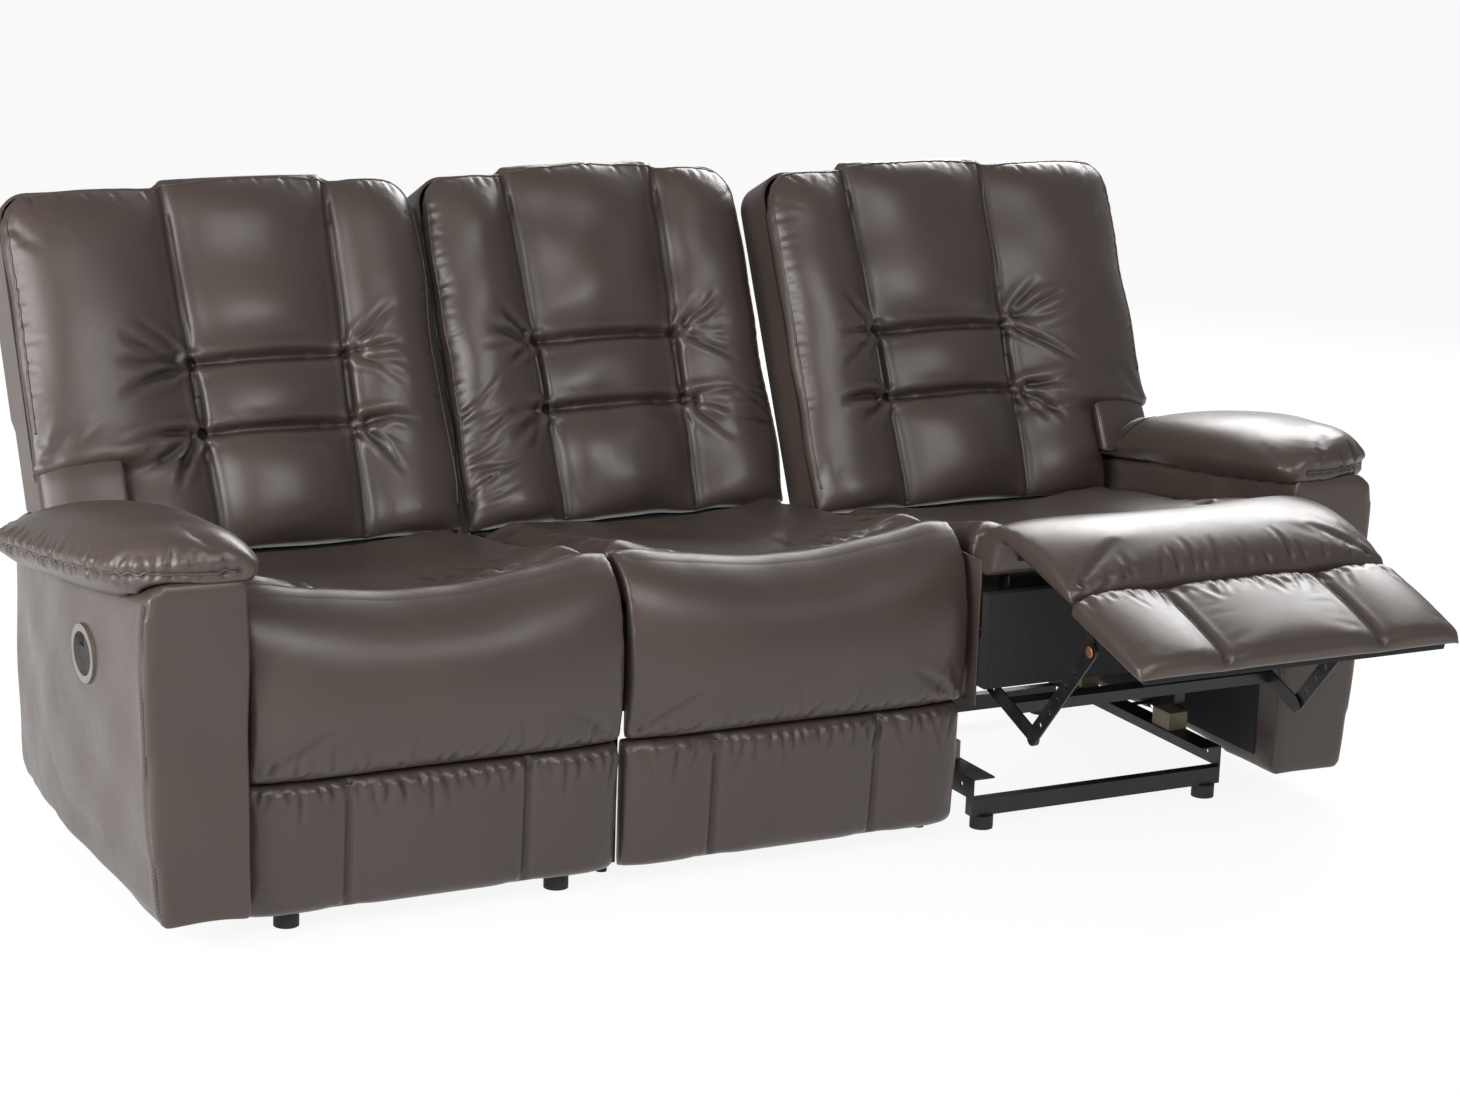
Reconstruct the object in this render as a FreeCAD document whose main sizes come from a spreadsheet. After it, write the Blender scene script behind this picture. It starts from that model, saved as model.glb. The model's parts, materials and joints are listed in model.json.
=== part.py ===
"""Three-seat reclining sofa: two recliners with footrests either side of a fixed seat.

Lengths are millimetres and angles are degrees.  X runs along the sofa, to the right of
someone looking at it, Y runs from the front to the rear and Z runs up from the floor.
Each seat is drawn in its own frame: X from the seat's centre line, Y from the face of the
closed lower panel.  The placements then put the seats side by side and the origin at the
middle of the whole sofa's footprint.  The left recliner is drawn closed.  The right one is
drawn open: its seat is forward along the rails and its footrest is swung up.
"""
import FreeCAD, Part
import math
import os
import Sketcher
from FreeCAD import Placement, Rotation, Vector

DRIVING = (
    ("seat_pitch", 590, "centre to centre of two seats"),
    ("seat_gap", 6, "gap between two seat cushions"),
    ("wall_slide", 100, "how far a seat runs forward as its footrest opens"),
    ("footrest_angle", 75, "swing of the footrest from closed to open"),
    ("hinge_y", 60, "footrest hinge, behind the closed lower panel"),
    ("hinge_z", 475, "footrest hinge, above the floor"),
    ("roll_radius", 31, "leather roll round the footrest hinge"),
    ("running_gap", 1.5, "gap between the roll and the seat cushion"),
    ("cushion_rear_y", 592, "rear face of a seat cushion"),
    ("cushion_bottom_z", 345, "underside of a seat cushion"),
    ("cushion_front_z", 504, "top of a seat cushion at its front, at the sides"),
    ("cushion_rear_z", 419, "top of a seat cushion at its rear, at the sides"),
    ("cushion_dip", 30, "hollow across the middle of a seat cushion"),
    ("edge_radius", 24, "rounding along the edges of the cushions"),
    ("chaise_front_y", -26, "front of the chaise pad at its ends"),
    ("chaise_bottom_z", 236, "fold between the chaise pad and the lower panel"),
    ("chaise_back_y", 12, "rear face of the chaise pad"),
    ("chaise_crown", 9, "swelling of the chaise pad"),
    ("panel_bottom_z", 31, "bottom edge of the closed lower panel"),
    ("panel_back_y", 26, "rear face of the lower panel's pad"),
    ("panel_crown", 9, "swelling between the seams of the lower panel"),
    ("panel_seam_x", 140, "sewn channel of the lower panel, from the seat's centre"),
    ("footrest_ply", 12, "plywood behind the footrest's pads"),
    ("board", 18, "thickness of the seat box's boards"),
    ("box_bottom_z", 268, "underside of the seat box"),
    ("front_board_y", 44, "front face of the seat box"),
    ("front_board_z", 420, "top of the seat box's front board"),
    ("plate_x", 240, "inner face of a side plate"),
    ("plate", 3, "thickness of a steel plate or link"),
    ("plate_gap", 1.5, "washer gap between two plates"),
    ("plate_z", 315, "centre line of the side plates"),
    ("plate_width", 48, "depth of the side plates"),
    ("neck_width", 22, "width of the neck that carries the footrest hinge"),
    ("leg_width", 30, "width of the legs that stand on the glides"),
    ("front_leg_y", 270, "front leg of a side plate"),
    ("rear_leg_y", 540, "rear leg of a side plate"),
    ("strap_width", 18, "width of the footrest bracket's straps"),
    ("link_width", 26, "width of the links"),
    ("drive_pivot_y", 210, "fixed pivot of the drive link"),
    ("drive_pivot_z", 297, "height of the fixed pivot of the drive link"),
    ("pivot_drop", 263, "from the footrest hinge down to the closed front pivot"),
    ("pivot_set_back", 20, "from the footrest hinge back to the closed front pivot"),
    ("pin_radius", 5, "radius of the pivot pins"),
    ("pin_clearance", 0.1, "running clearance round a pin"),
    ("link_hole_radius", 4, "radius of the lightening holes"),
    ("tube_side", 20, "side of the square torque tube"),
    ("tube_share_percent", 68, "place of the torque tube along the drive link"),
    ("recline_y", 640, "recline pivot of a back"),
    ("recline_plate_width", 40, "width of the back's brackets"),
    ("back_lean", 24.7, "lean of a back from upright, in degrees"),
    ("recline_angle", 30, "how much further a back leans when it reclines, in degrees"),
    ("back_foot_y", 603, "foot of the back's seam plane"),
    ("back_foot_z", 430, "height of the foot of the back's seam plane"),
    ("back_height", 586, "length of a back along its lean"),
    ("back_depth", 83, "depth of the back's outer shell"),
    ("shell_wall", 5, "thickness of the back's outer shell"),
    ("pad_base", 12, "from the seam plane back to the frame's face"),
    ("pad_foot", -12, "foot of a back cushion, along the back"),
    ("stile_width", 30, "width of the back frame's stiles"),
    ("rail_height", 40, "height of the back frame's rails"),
    ("corner_radius", 50, "rounded top corners of a back"),
    ("wing_reach", 110, "how far an outer back reaches over its arm"),
    ("wing_foot", 126, "foot of that wing, along the back"),
    ("top_seam_x", 137, "upright seams of a back at its top"),
    ("roll_seam_x", 125, "upright seams of a back at the lumbar roll"),
    ("roll_foot", 177, "lower seam of the lumbar roll, along the back"),
    ("roll_head", 292, "upper seam of the lumbar roll, along the back"),
    ("head_crown", 48, "swelling of the head pad"),
    ("lumbar_crown", 42, "swelling of the lumbar roll"),
    ("lower_crown", 58, "swelling of the lower back pad"),
    ("bolster_crown", 46, "swelling of the side bolsters"),
    ("channel_gap", 1, "gap between two chambers of a back cushion"),
    ("spring_wire", 4, "diameter of the seat springs' wire"),
    ("spring_run", 26, "straight run of a seat spring"),
    ("spring_pitch", 100, "centre to centre of the seat springs"),
    ("rail_length", 560, "length of a base side rail"),
    ("rail_front_y", 42, "front end of a base side rail"),
    ("rail_side", 36, "height of a base side rail"),
    ("rail_flange", 40, "width of a base side rail's top flange"),
    ("cross_rail_y", 42, "front face of the front cross rail"),
    ("cross_rail_depth", 20, "depth of a cross rail"),
    ("cross_rail_height", 28, "height of a cross rail"),
    ("rear_rail_y", 550, "front face of the rear cross rail"),
    ("foot_height", 22, "height of the feet"),
    ("foot_radius", 19, "radius of the feet"),
    ("foot_x", 215, "feet from the seat's centre line"),
    ("glide_length", 50, "length of a nylon glide"),
    ("glide_gap", 0.3, "running gap under a glide"),
    ("arm_gap", 3, "gap between an arm and its seat"),
    ("arm_front_y", -36, "front face of an arm"),
    ("arm_rear_y", 742, "rear face of an arm"),
    ("arm_foot_z", 48, "underside of an arm at its front"),
    ("arm_foot_rear_z", 58, "underside of an arm at its rear"),
    ("arm_heel", 50, "rounding of an arm's rear heel"),
    ("arm_frame_z", 96, "underside of the boards inside an arm"),
    ("arm_front_z", 552, "top of an arm at its front"),
    ("arm_rear_z", 455, "top of an arm at its rear"),
    ("arm_foot_width", 134, "width of an arm at its foot"),
    ("arm_width", 158, "greatest width of an arm"),
    ("arm_rear_width", 119, "width of an arm at its rear"),
    ("arm_wall", 16, "foam and leather over an arm's frame"),
    ("pillow_width", 240, "width of an arm pillow at its middle"),
    ("pillow_height", 106, "height of an arm pillow with its overhang"),
    ("arm_board", 12, "thickness of an arm's boards"),
    ("bezel_y", 240, "centre of the pull handle"),
    ("bezel_z", 385, "height of the pull handle"),
    ("bezel_half_length", 52, "half length of the handle's bezel"),
    ("bezel_half_height", 43, "half height of the handle's bezel"),
    ("bezel_rim", 9, "width of the bezel's rim"),
    ("bezel_depth", 24, "depth of the handle's recess"),
    ("bezel_wall", 2, "wall of the handle's recess"),
    ("lever_thickness", 5, "thickness of the pull lever"),
    ("pin_slack", 0.4, "play of the pull lever's barrel at its ends"),
    ("cable_radius", 3, "radius of the release cable"),
    ("cable_hole_radius", 14, "radius of the cable's hole in an arm"),
)

doc = FreeCAD.newDocument("reclining_sofa")
sheet = doc.addObject("Spreadsheet::Sheet", "Sizes")


class Values:
    """Named sizes that the macro reads as attributes and the sheet holds as cells."""

    def __init__(self):
        self.row = 0

    def add(self, alias, value, note):
        self.row += 1
        sheet.set(f"A{self.row}", alias)
        sheet.set(f"B{self.row}", repr(float(value)))
        sheet.setAlias(f"B{self.row}", alias)
        sheet.set(f"C{self.row}", note)
        setattr(self, alias, float(value))


size = Values()
for alias, value, note in DRIVING:
    size.add(alias, value, note)


def worked_out():
    """Sizes that follow from the driving ones, as (alias, value, note)."""
    turn = math.radians(size.footrest_angle)
    seat_half = (size.seat_pitch - size.seat_gap) / 2
    front_y = size.hinge_y + size.pivot_set_back
    front_z = size.hinge_z - size.pivot_drop
    brace_y = size.drive_pivot_y - size.hinge_y
    brace_z = size.drive_pivot_z - size.hinge_z
    share = size.tube_share_percent / 100
    strap_y = size.chaise_back_y + size.footrest_ply + size.strap_width / 2
    yield "seat_half", seat_half, "half width of a seat cushion"
    yield "cushion_front_y", size.hinge_y + size.roll_radius + size.running_gap, "front of a seat cushion"
    yield "front_pivot_y", front_y, "front pivot of the footrest's linkage, closed"
    yield "front_pivot_z", front_z, "height of that pivot, closed"
    yield "lower_pivot_y", front_y + brace_y, "lower pivot of the front link, closed"
    yield "lower_pivot_z", front_z + brace_z, "height of that pivot, closed"
    yield "tube_y", size.drive_pivot_y + share * size.pivot_set_back, "torque tube, closed"
    yield "tube_z", size.drive_pivot_z - share * size.pivot_drop, "height of the torque tube, closed"
    yield "neck_y", size.front_board_y + size.board + size.neck_width / 2 + 5, "neck of a side plate"
    yield "neck_z", size.front_board_z + size.neck_width, "bend of that neck"
    yield "strap_top_y", strap_y, "bracket strap behind the chaise board"
    yield "strap_top_z", size.front_board_z + 8, "upper end of that strap"
    yield "strap_mid_y", strap_y, "lower end of that strap"
    yield "strap_mid_z", size.chaise_bottom_z + 26, "height of that end"
    yield "strap_low_y", size.panel_back_y + size.footrest_ply + size.strap_width / 2, "strap behind the foot board"
    yield "strap_low_z", size.chaise_bottom_z - 11, "upper end of that strap"
    yield "strap_foot_y", size.panel_back_y + size.footrest_ply + size.strap_width / 2, "lower end"
    yield "strap_foot_z", size.panel_bottom_z + 44, "height of the lower end"
    yield "rail_top_z", size.foot_height + size.cross_rail_height + size.rail_side, "top of the side rails"
    yield "link_x", size.plate_x + size.plate + size.plate_gap, "inner face of the drive links"
    yield "outer_link_x", size.plate_x + 2 * (size.plate + size.plate_gap), "inner face of the front links"
    yield "arm_inner_x", 1.5 * size.seat_pitch + size.arm_gap - size.seat_gap / 2, "inner face of an arm"
    yield "recline_z", size.plate_z, "height of the recline pivot"
    full_lean = math.radians(size.back_lean + size.recline_angle)
    yield "wing_rise", size.back_depth * math.tan(full_lean), "rise of a wing's underside to its rear edge"


for alias, value, note in worked_out():
    size.add(alias, value, note)
doc.recompute()

nodes = {}


def bind(item, **expressions):
    """Tie an object's properties to expressions; a double underscore stands for a dot."""
    for name, expression in expressions.items():
        item.setExpression(name.replace("__", "."), expression)
    return item


def box(name, spans):
    """A Part::Box from three (low, high) pairs of expressions, along X, Y and Z."""
    item = doc.addObject("Part::Box", name)
    (x_low, x_high), (y_low, y_high), (z_low, z_high) = spans
    bind(item, Length=f"({x_high}) - ({x_low})", Width=f"({y_high}) - ({y_low})",
         Height=f"({z_high}) - ({z_low})", Placement__Base__x=x_low, Placement__Base__y=y_low,
         Placement__Base__z=z_low)
    return item


def pin(name, radius, x_span, point):
    """A Part::Cylinder along X at the named point of the sheet."""
    item = doc.addObject("Part::Cylinder", name)
    item.Placement = Placement(Vector(), Rotation(Vector(0, 1, 0), 90))
    bind(item, Radius=radius, Height=f"({x_span[1]}) - ({x_span[0]})", Placement__Base__x=x_span[0],
         Placement__Base__y=f"Sizes.{point}_y", Placement__Base__z=f"Sizes.{point}_z")
    return item


def mirrored(item):
    """The same piece on the other side of the seat's centre line."""
    other = doc.addObject("Part::Mirroring", item.Name + "_mirrored")
    other.Source = item
    other.Normal = (1, 0, 0)
    return other


def both_sides(items):
    """Each piece and its mirror image."""
    return [piece for item in items for piece in (item, mirrored(item))]


def shaped(name, shape, placement=None):
    """A Part::Feature that holds a shape made by a loft or a pipe."""
    item = doc.addObject("Part::Feature", name)
    item.Shape = shape
    if placement:
        item.Placement = placement
    return item


def sub_part(name, pieces, placement):
    """One named sub-part of the sofa: its pieces, put in their place."""
    item = doc.addObject("Part::Compound", name)
    item.Links = pieces
    item.Label = name
    item.Placement = placement
    nodes[name] = item
    return item


def origin_plane(body, role):
    """One of a body's own origin planes."""
    return next(plane for plane in body.Origin.OriginFeatures if plane.Role == role)


def new_sketch(body, role, offset):
    """A sketch on an origin plane of its body, moved out along the plane's normal."""
    sketch = body.newObject("Sketcher::SketchObject", body.Name + "_sketch")
    sketch.AttachmentSupport = [(origin_plane(body, role), "")]
    sketch.MapMode = "FlatFace"
    sketch.setExpression("AttachmentOffset.Base.z", offset)
    return sketch


def tie(sketch, kind, references, value, expression):
    """A driving constraint whose value is an expression of the sheet."""
    index = sketch.addConstraint(Sketcher.Constraint(kind, *references, value))
    sketch.setExpression(f"Constraints[{index}]", expression)


def named_point(name):
    """A point of the side view, from its two cells."""
    return Vector(getattr(size, name + "_y"), getattr(size, name + "_z"), 0)


def tie_centre(sketch, geometry, name):
    """Hold an arc's or a circle's centre at a named point."""
    point = named_point(name)
    tie(sketch, "DistanceX", (-1, 1, geometry, 3), point.x, f"Sizes.{name}_y")
    tie(sketch, "DistanceY", (-1, 1, geometry, 3), point.y, f"Sizes.{name}_z")


def strap_sketch(body, first, last, width, offset):
    """A round-ended strap between two named points."""
    sketch = new_sketch(body, "YZ_Plane", offset)
    start, end = named_point(first), named_point(last)
    radius = getattr(size, width) / 2
    along = (end - start).normalize()
    across = Vector(-along.y, along.x, 0) * radius
    angle = math.atan2(along.y, along.x)
    quarter = math.pi / 2
    normal = Vector(0, 0, 1)
    head = sketch.addGeometry(Part.ArcOfCircle(Part.Circle(start, normal, radius),
                                               angle + quarter, angle + 3 * quarter), False)
    tail = sketch.addGeometry(Part.ArcOfCircle(Part.Circle(end, normal, radius),
                                               angle - quarter, angle + quarter), False)
    upper = sketch.addGeometry(Part.LineSegment(end + across, start + across), False)
    lower = sketch.addGeometry(Part.LineSegment(start - across, end - across), False)
    for one, one_end, two, two_end in ((tail, 2, upper, 1), (upper, 2, head, 1),
                                       (head, 2, lower, 1), (lower, 2, tail, 1)):
        sketch.addConstraint(Sketcher.Constraint("Tangent", one, one_end, two, two_end))
    sketch.addConstraint(Sketcher.Constraint("Equal", head, tail))
    tie(sketch, "Radius", (head,), radius, f"Sizes.{width} / 2")
    tie_centre(sketch, head, first)
    tie_centre(sketch, tail, last)
    return sketch


def strap_plate(name, straps, holes, offset):
    """A steel plate made of straps, with round holes through it."""
    body = doc.addObject("PartDesign::Body", name)
    for first, last, width in straps:
        pad = body.newObject("PartDesign::Pad", name + "_pad")
        pad.Profile = strap_sketch(body, first, last, width, offset)
        pad.setExpression("Length", "Sizes.plate")
    sketch = new_sketch(body, "YZ_Plane", offset)
    for point, radius, expression in holes:
        circle = sketch.addGeometry(Part.Circle(named_point(point), Vector(0, 0, 1), radius), False)
        tie(sketch, "Radius", (circle,), radius, expression)
        tie_centre(sketch, circle, point)
    pocket = body.newObject("PartDesign::Pocket", name + "_holes")
    pocket.Profile = sketch
    pocket.Type = 1
    pocket.Midplane = True
    return body


def closed_wire(start, *steps):
    """A closed wire of lines and arcs; a step is an end point, or a middle and an end point."""
    edges = []
    here = start
    for step in steps + (start,):
        if isinstance(step, tuple):
            edges.append(Part.Arc(here, step[0], step[1]).toShape())
            here = step[1]
        elif (step - here).Length > 1e-6:
            edges.append(Part.LineSegment(here, step).toShape())
            here = step
    return Part.Wire(edges)


def lofted(wires):
    """A smooth closed solid through the wires."""
    return Part.makeLoft(wires, True, False)


class Unit:
    """One of the three seats: its place, and how far its footrest is open as drawn."""

    def __init__(self, name, side, opened):
        self.name = name
        self.side = side
        self.opened = opened

    def turn(self):
        """Rotation of the footrest from closed to its place as drawn."""
        return Rotation(Vector(1, 0, 0), -size.footrest_angle * self.opened)

    def seat(self):
        """Placement of what rides on the seat."""
        shift = Vector(self.side * size.seat_pitch, front_datum - size.wall_slide * self.opened, 0)
        return Placement(shift, Rotation())

    def fixed(self):
        """Placement of what stays on the floor under the seat."""
        return Placement(Vector(self.side * size.seat_pitch, front_datum, 0), Rotation())

    def turned_about(self, name):
        """Placement of a piece that swings about a named point."""
        point = named_point(name)
        centre = Vector(0, point.x, point.y)
        return self.seat() * Placement(centre - self.turn().multVec(centre), self.turn())

    def carried(self):
        """Placement of the front links, which the footrest carries without turning them."""
        arm = Vector(0, size.pivot_set_back, -size.pivot_drop)
        return self.seat() * Placement(self.turn().multVec(arm) - arm, Rotation())


LEFT = Unit("left", -1, 0)
CENTRE = Unit("centre", 0, 0)
RIGHT = Unit("right", 1, 1)


def seat_section(y, z_side, dip, inset):
    """Section of a seat cushion across the seat: raised sides and a hollow middle."""
    half = size.seat_half - inset
    radius = size.edge_radius
    chord = radius * (1 - math.cos(math.pi / 4))
    base = size.cushion_bottom_z
    return closed_wire(
        Vector(-half, y, base), Vector(half, y, base), Vector(half, y, z_side - radius),
        (Vector(half - chord, y, z_side - chord), Vector(half - radius, y, z_side)),
        (Vector(0, y, z_side - dip), Vector(radius - half, y, z_side)),
        (Vector(chord - half, y, z_side - chord), Vector(-half, y, z_side - radius)))


def seat_cushion_shape():
    """Seat cushion, highest at its front corners and hollowed to the rear."""
    front, rear = size.cushion_front_y, size.cushion_rear_y
    fall = size.cushion_front_z - size.cushion_rear_z
    stations = ((0, 0.4, 8), (0.07, 0.95, 2), (0.28, 1.2, 0), (0.52, 1.1, 0), (0.76, 0.7, 1), (1, 0.35, 6))
    wires = [seat_section(front + (rear - front) * share, size.cushion_front_z - fall * share,
                          size.cushion_dip * dip, inset) for share, dip, inset in stations]
    return lofted(wires)


def chaise_section(x, fullness):
    """Section of the chaise pad, from the roll round the hinge to the fold below."""
    roll = size.roll_radius - 4 * max(fullness, 0)
    eye_y, eye_z = size.hinge_y, size.hinge_z
    face = size.chaise_front_y - size.chaise_crown * fullness
    foot = size.chaise_bottom_z
    back = size.chaise_back_y
    edge = size.edge_radius
    chord = roll * math.sqrt(0.5)
    at = lambda y, z: Vector(x, y, z)
    return closed_wire(
        at(eye_y, eye_z + roll),
        (at(eye_y - 0.5 * (eye_y - face), eye_z + 0.32 * roll), at(face + 6, eye_z - 2 * edge)),
        (at(face - 5, (eye_z + foot) / 2), at(face + 3, foot + edge)),
        (at(face + 10, foot + 7), at(face + edge, foot)),
        at(back, foot + 6), at(back, eye_z - size.roll_radius), at(eye_y, eye_z - roll),
        (at(eye_y + chord, eye_z - chord), at(eye_y + roll, eye_z)),
        (at(eye_y + chord, eye_z + chord), at(eye_y, eye_z + roll)))


def chaise_pad_shape():
    """Chaise pad: front of the seat when closed, calf support when open."""
    half = size.seat_half - 1
    shares = (-1, -0.96, -0.88, -0.7, -0.35, 0.35, 0.7, 0.88, 0.96, 1)
    pad = lofted([chaise_section(half * share, 1 - 2.2 * share ** 6) for share in shares])
    rim = size.roll_radius + 1
    low, high = size.plate_x - 2, size.link_x + size.plate + 2
    for side in (1, -1):
        start = low if side > 0 else -high
        eye = Vector(start, size.hinge_y, size.hinge_z)
        slot = Part.makeCylinder(size.roll_radius - 7, high - low, eye, Vector(1, 0, 0))
        behind = size.chaise_back_y + size.footrest_ply
        under = Part.makeBox(high - low, size.hinge_y + rim - behind, rim + 1,
                             Vector(start, behind, size.hinge_z - rim))
        rear = Part.makeBox(high - low, rim, rim * 0.75, Vector(start, size.hinge_y, size.hinge_z))
        pad = pad.cut(slot.fuse([under, rear]))
    return pad


def panel_section(x, fullness):
    """Section of the lower panel's pad."""
    face = -size.panel_crown * fullness
    top = size.chaise_bottom_z - 2
    foot = size.panel_bottom_z
    back = size.panel_back_y
    edge = 0.8 * size.edge_radius
    at = lambda y, z: Vector(x, y, z)
    return closed_wire(
        at(face - 9, top - edge), (at(face - 4, top - 5), at(face + edge - 8, top)),
        at(back, top), at(back, foot + 2), at(face + edge, foot),
        (at(face + 7, foot + 6), at(face, foot + edge)),
        (at(face - 7, (top + foot) / 2), at(face - 9, top - edge)))


def lower_panel_shape():
    """Lower panel's pad, with its two sewn channels."""
    half = size.seat_half - 1
    seam = size.panel_seam_x
    side = (half + seam) / 2
    right = ((0.45 * seam, 1), (0.8 * seam, 0.62), (seam, 0), (1.2 * seam, 0.6), (side, 1), (half - 32, 0.7),
             (half - 14, 0.1), (half, -0.7))
    stations = [(-x, fullness) for x, fullness in reversed(right)] + list(right)
    return lofted([panel_section(x, fullness) for x, fullness in stations])


def back_plane():
    """Placement of the back's own frame: X across, Y up along the lean, Z towards the sitter."""
    return Placement(Vector(0, size.back_foot_y, size.back_foot_z),
                     Rotation(Vector(1, 0, 0), 90 - size.back_lean))


def chamber(stations, side_height):
    """A swelled chamber of a back cushion through (along, inner x, outer x, crown) stations."""
    wires = []
    for along, inner, outer, crown in stations:
        rim = min(side_height, crown - 3)
        wires.append(closed_wire(
            Vector(inner, along, -size.pad_base), Vector(outer, along, -size.pad_base),
            Vector(outer, along, rim), (Vector((inner + outer) / 2, along, crown), Vector(inner, along, rim))))
    return lofted(wires)


def seam_x(along):
    """Upright seam of a back at a height along it."""
    share = (along - size.roll_foot) / (size.back_height - size.roll_foot)
    return size.roll_seam_x + (size.top_seam_x - size.roll_seam_x) * share


def middle_chamber(foot, head, crown, profile):
    """Head pad, lumbar roll or lower pad between the two upright seams."""
    stations = []
    for share, swell in profile:
        along = foot + (head - foot) * share
        half = seam_x(along) - size.channel_gap / 2
        stations.append((along, -half, half, crown * swell))
    return chamber(stations, 8)


def bolster(side, outer, foot):
    """Side bolster of a back; its outer top corner is rounded."""
    top = size.back_height - 2
    rise = top - foot
    profile = ((0, 0.35, 0), (0.1, 0.95, 0), (0.36, 0.9, 0), (0.62, 1.05, 0), (0.84, 1.0, 0),
               (0.925, 0.85, 0.18), (0.972, 0.55, 0.5), (1, 0.15, 1))
    stations = []
    for share, swell, narrowing in profile:
        along = foot + rise * share
        inner_x = seam_x(along) + size.channel_gap / 2
        outer_x = outer - size.corner_radius * narrowing
        low, high = sorted((side * inner_x, side * outer_x))
        stations.append((along, low, high, size.bolster_crown * swell))
    return chamber(stations, 6)


def low_bolster(side, outer):
    """Part of an outer bolster that stays between the arm and the back's middle."""
    foot, head = size.pad_foot, size.wing_foot - size.channel_gap
    stations = []
    for share, swell in ((0, 0.35), (0.3, 0.9), (0.7, 0.95), (1, 0.9)):
        along = foot + (head - foot) * share
        low, high = sorted((side * (seam_x(along) + size.channel_gap / 2), side * outer))
        stations.append((along, low, high, size.bolster_crown * swell))
    return chamber(stations, 6)


def back_cushion(unit):
    """Chambers of one back cushion: head pad, lumbar roll, lower pad and bolsters."""
    gap = size.channel_gap
    top = size.back_height + 12
    head = ((0, 0.3), (0.12, 0.9), (0.45, 1), (0.8, 0.95), (0.94, 0.6), (1, 0.12))
    roll = ((0, 0.35), (0.2, 0.88), (0.5, 1), (0.8, 0.88), (1, 0.35))
    lower = ((0, 0.3), (0.22, 0.86), (0.55, 1), (0.85, 0.8), (1, 0.25))
    shapes = {
        "head_pad": middle_chamber(size.roll_head + gap, top, size.head_crown, head),
        "lumbar_roll": middle_chamber(size.roll_foot, size.roll_head, size.lumbar_crown, roll),
        "lower_pad": middle_chamber(size.pad_foot, size.roll_foot - gap, size.lower_crown, lower),
    }
    inner_edge = size.seat_half - 1
    for side in (-1, 1):
        if side == unit.side:
            shapes[f"wing{side + 1}"] = bolster(side, size.seat_half + size.wing_reach, size.wing_foot)
            shapes[f"bolster{side + 1}"] = low_bolster(side, size.seat_half - 5)
        else:
            shapes[f"bolster{side + 1}"] = bolster(side, inner_edge, size.pad_foot)
    return [shaped(f"{unit.name}_{name}", shape, back_plane()) for name, shape in shapes.items()]


def outline_sketch(body, corners, offset):
    """A closed outline through corners, each an (x, along, rounding) of value and expression.

    A corner with a rounding gives the centre and the radius of its arc.
    """
    sketch = new_sketch(body, "XY_Plane", offset)
    count = len(corners)
    ends = []
    for (x_value, _), (y_value, _), rounding in corners:
        centre = Vector(x_value, y_value, 0)
        if rounding is None:
            ends.append((centre, centre))
            continue
        side = 1 if x_value > 0 else -1
        upper, outer = centre + Vector(0, rounding[0], 0), centre + Vector(side * rounding[0], 0, 0)
        ends.append((outer, upper) if side > 0 else (upper, outer))
    lines = []
    for index in range(count):
        start, end = ends[index][1], ends[(index + 1) % count][0]
        lines.append(sketch.addGeometry(Part.LineSegment(start, end), False))
    for index, (x_pair, y_pair, rounding) in enumerate(corners):
        before, after = lines[index - 1], lines[index]
        if rounding is None:
            sketch.addConstraint(Sketcher.Constraint("Coincident", before, 2, after, 1))
            tie(sketch, "DistanceX", (-1, 1, after, 1), *x_pair)
            tie(sketch, "DistanceY", (-1, 1, after, 1), *y_pair)
            continue
        turn = 0 if x_pair[0] > 0 else math.pi / 2
        circle = Part.Circle(Vector(x_pair[0], y_pair[0], 0), Vector(0, 0, 1), rounding[0])
        arc = sketch.addGeometry(Part.ArcOfCircle(circle, turn, turn + math.pi / 2), False)
        sketch.addConstraint(Sketcher.Constraint("Tangent", before, 2, arc, 1))
        sketch.addConstraint(Sketcher.Constraint("Tangent", arc, 2, after, 1))
        tie(sketch, "Radius", (arc,), *rounding)
        tie(sketch, "DistanceX", (-1, 1, arc, 3), *x_pair)
        tie(sketch, "DistanceY", (-1, 1, arc, 3), *y_pair)
    return sketch


def back_corners(unit, inset, inset_text, foot_level=-22):
    """Corners of a back's outline, set in by the given amount; the top ones are rounded."""
    foot = (foot_level, f"{foot_level}")
    half = (size.seat_half - 3 - inset, f"Sizes.seat_half - 3 - {inset_text}")
    reach = (half[0] + size.wing_reach, f"{half[1]} + Sizes.wing_reach")
    step = (size.wing_foot + inset, f"Sizes.wing_foot + {inset_text}")
    rounding = (size.corner_radius - inset, f"Sizes.corner_radius - {inset_text}")
    head = (size.back_height - size.corner_radius, "Sizes.back_height - Sizes.corner_radius")

    def flipped(pair):
        return -pair[0], f"-({pair[1]})"

    def centre(pair):
        return pair[0] - rounding[0], f"{pair[1]} - ({rounding[1]})"

    right, left = [(half, foot, None)], [(flipped(half), foot, None)]
    top_right = top_left = half
    if unit.side > 0:
        right += [(half, step, None), (reach, step, None)]
        top_right = reach
    if unit.side < 0:
        left = [(flipped(reach), step, None), (flipped(half), step, None)] + left
        top_left = reach
    return right + [(centre(top_right), head, rounding), (flipped(centre(top_left)), head, rounding)] + left


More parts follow.
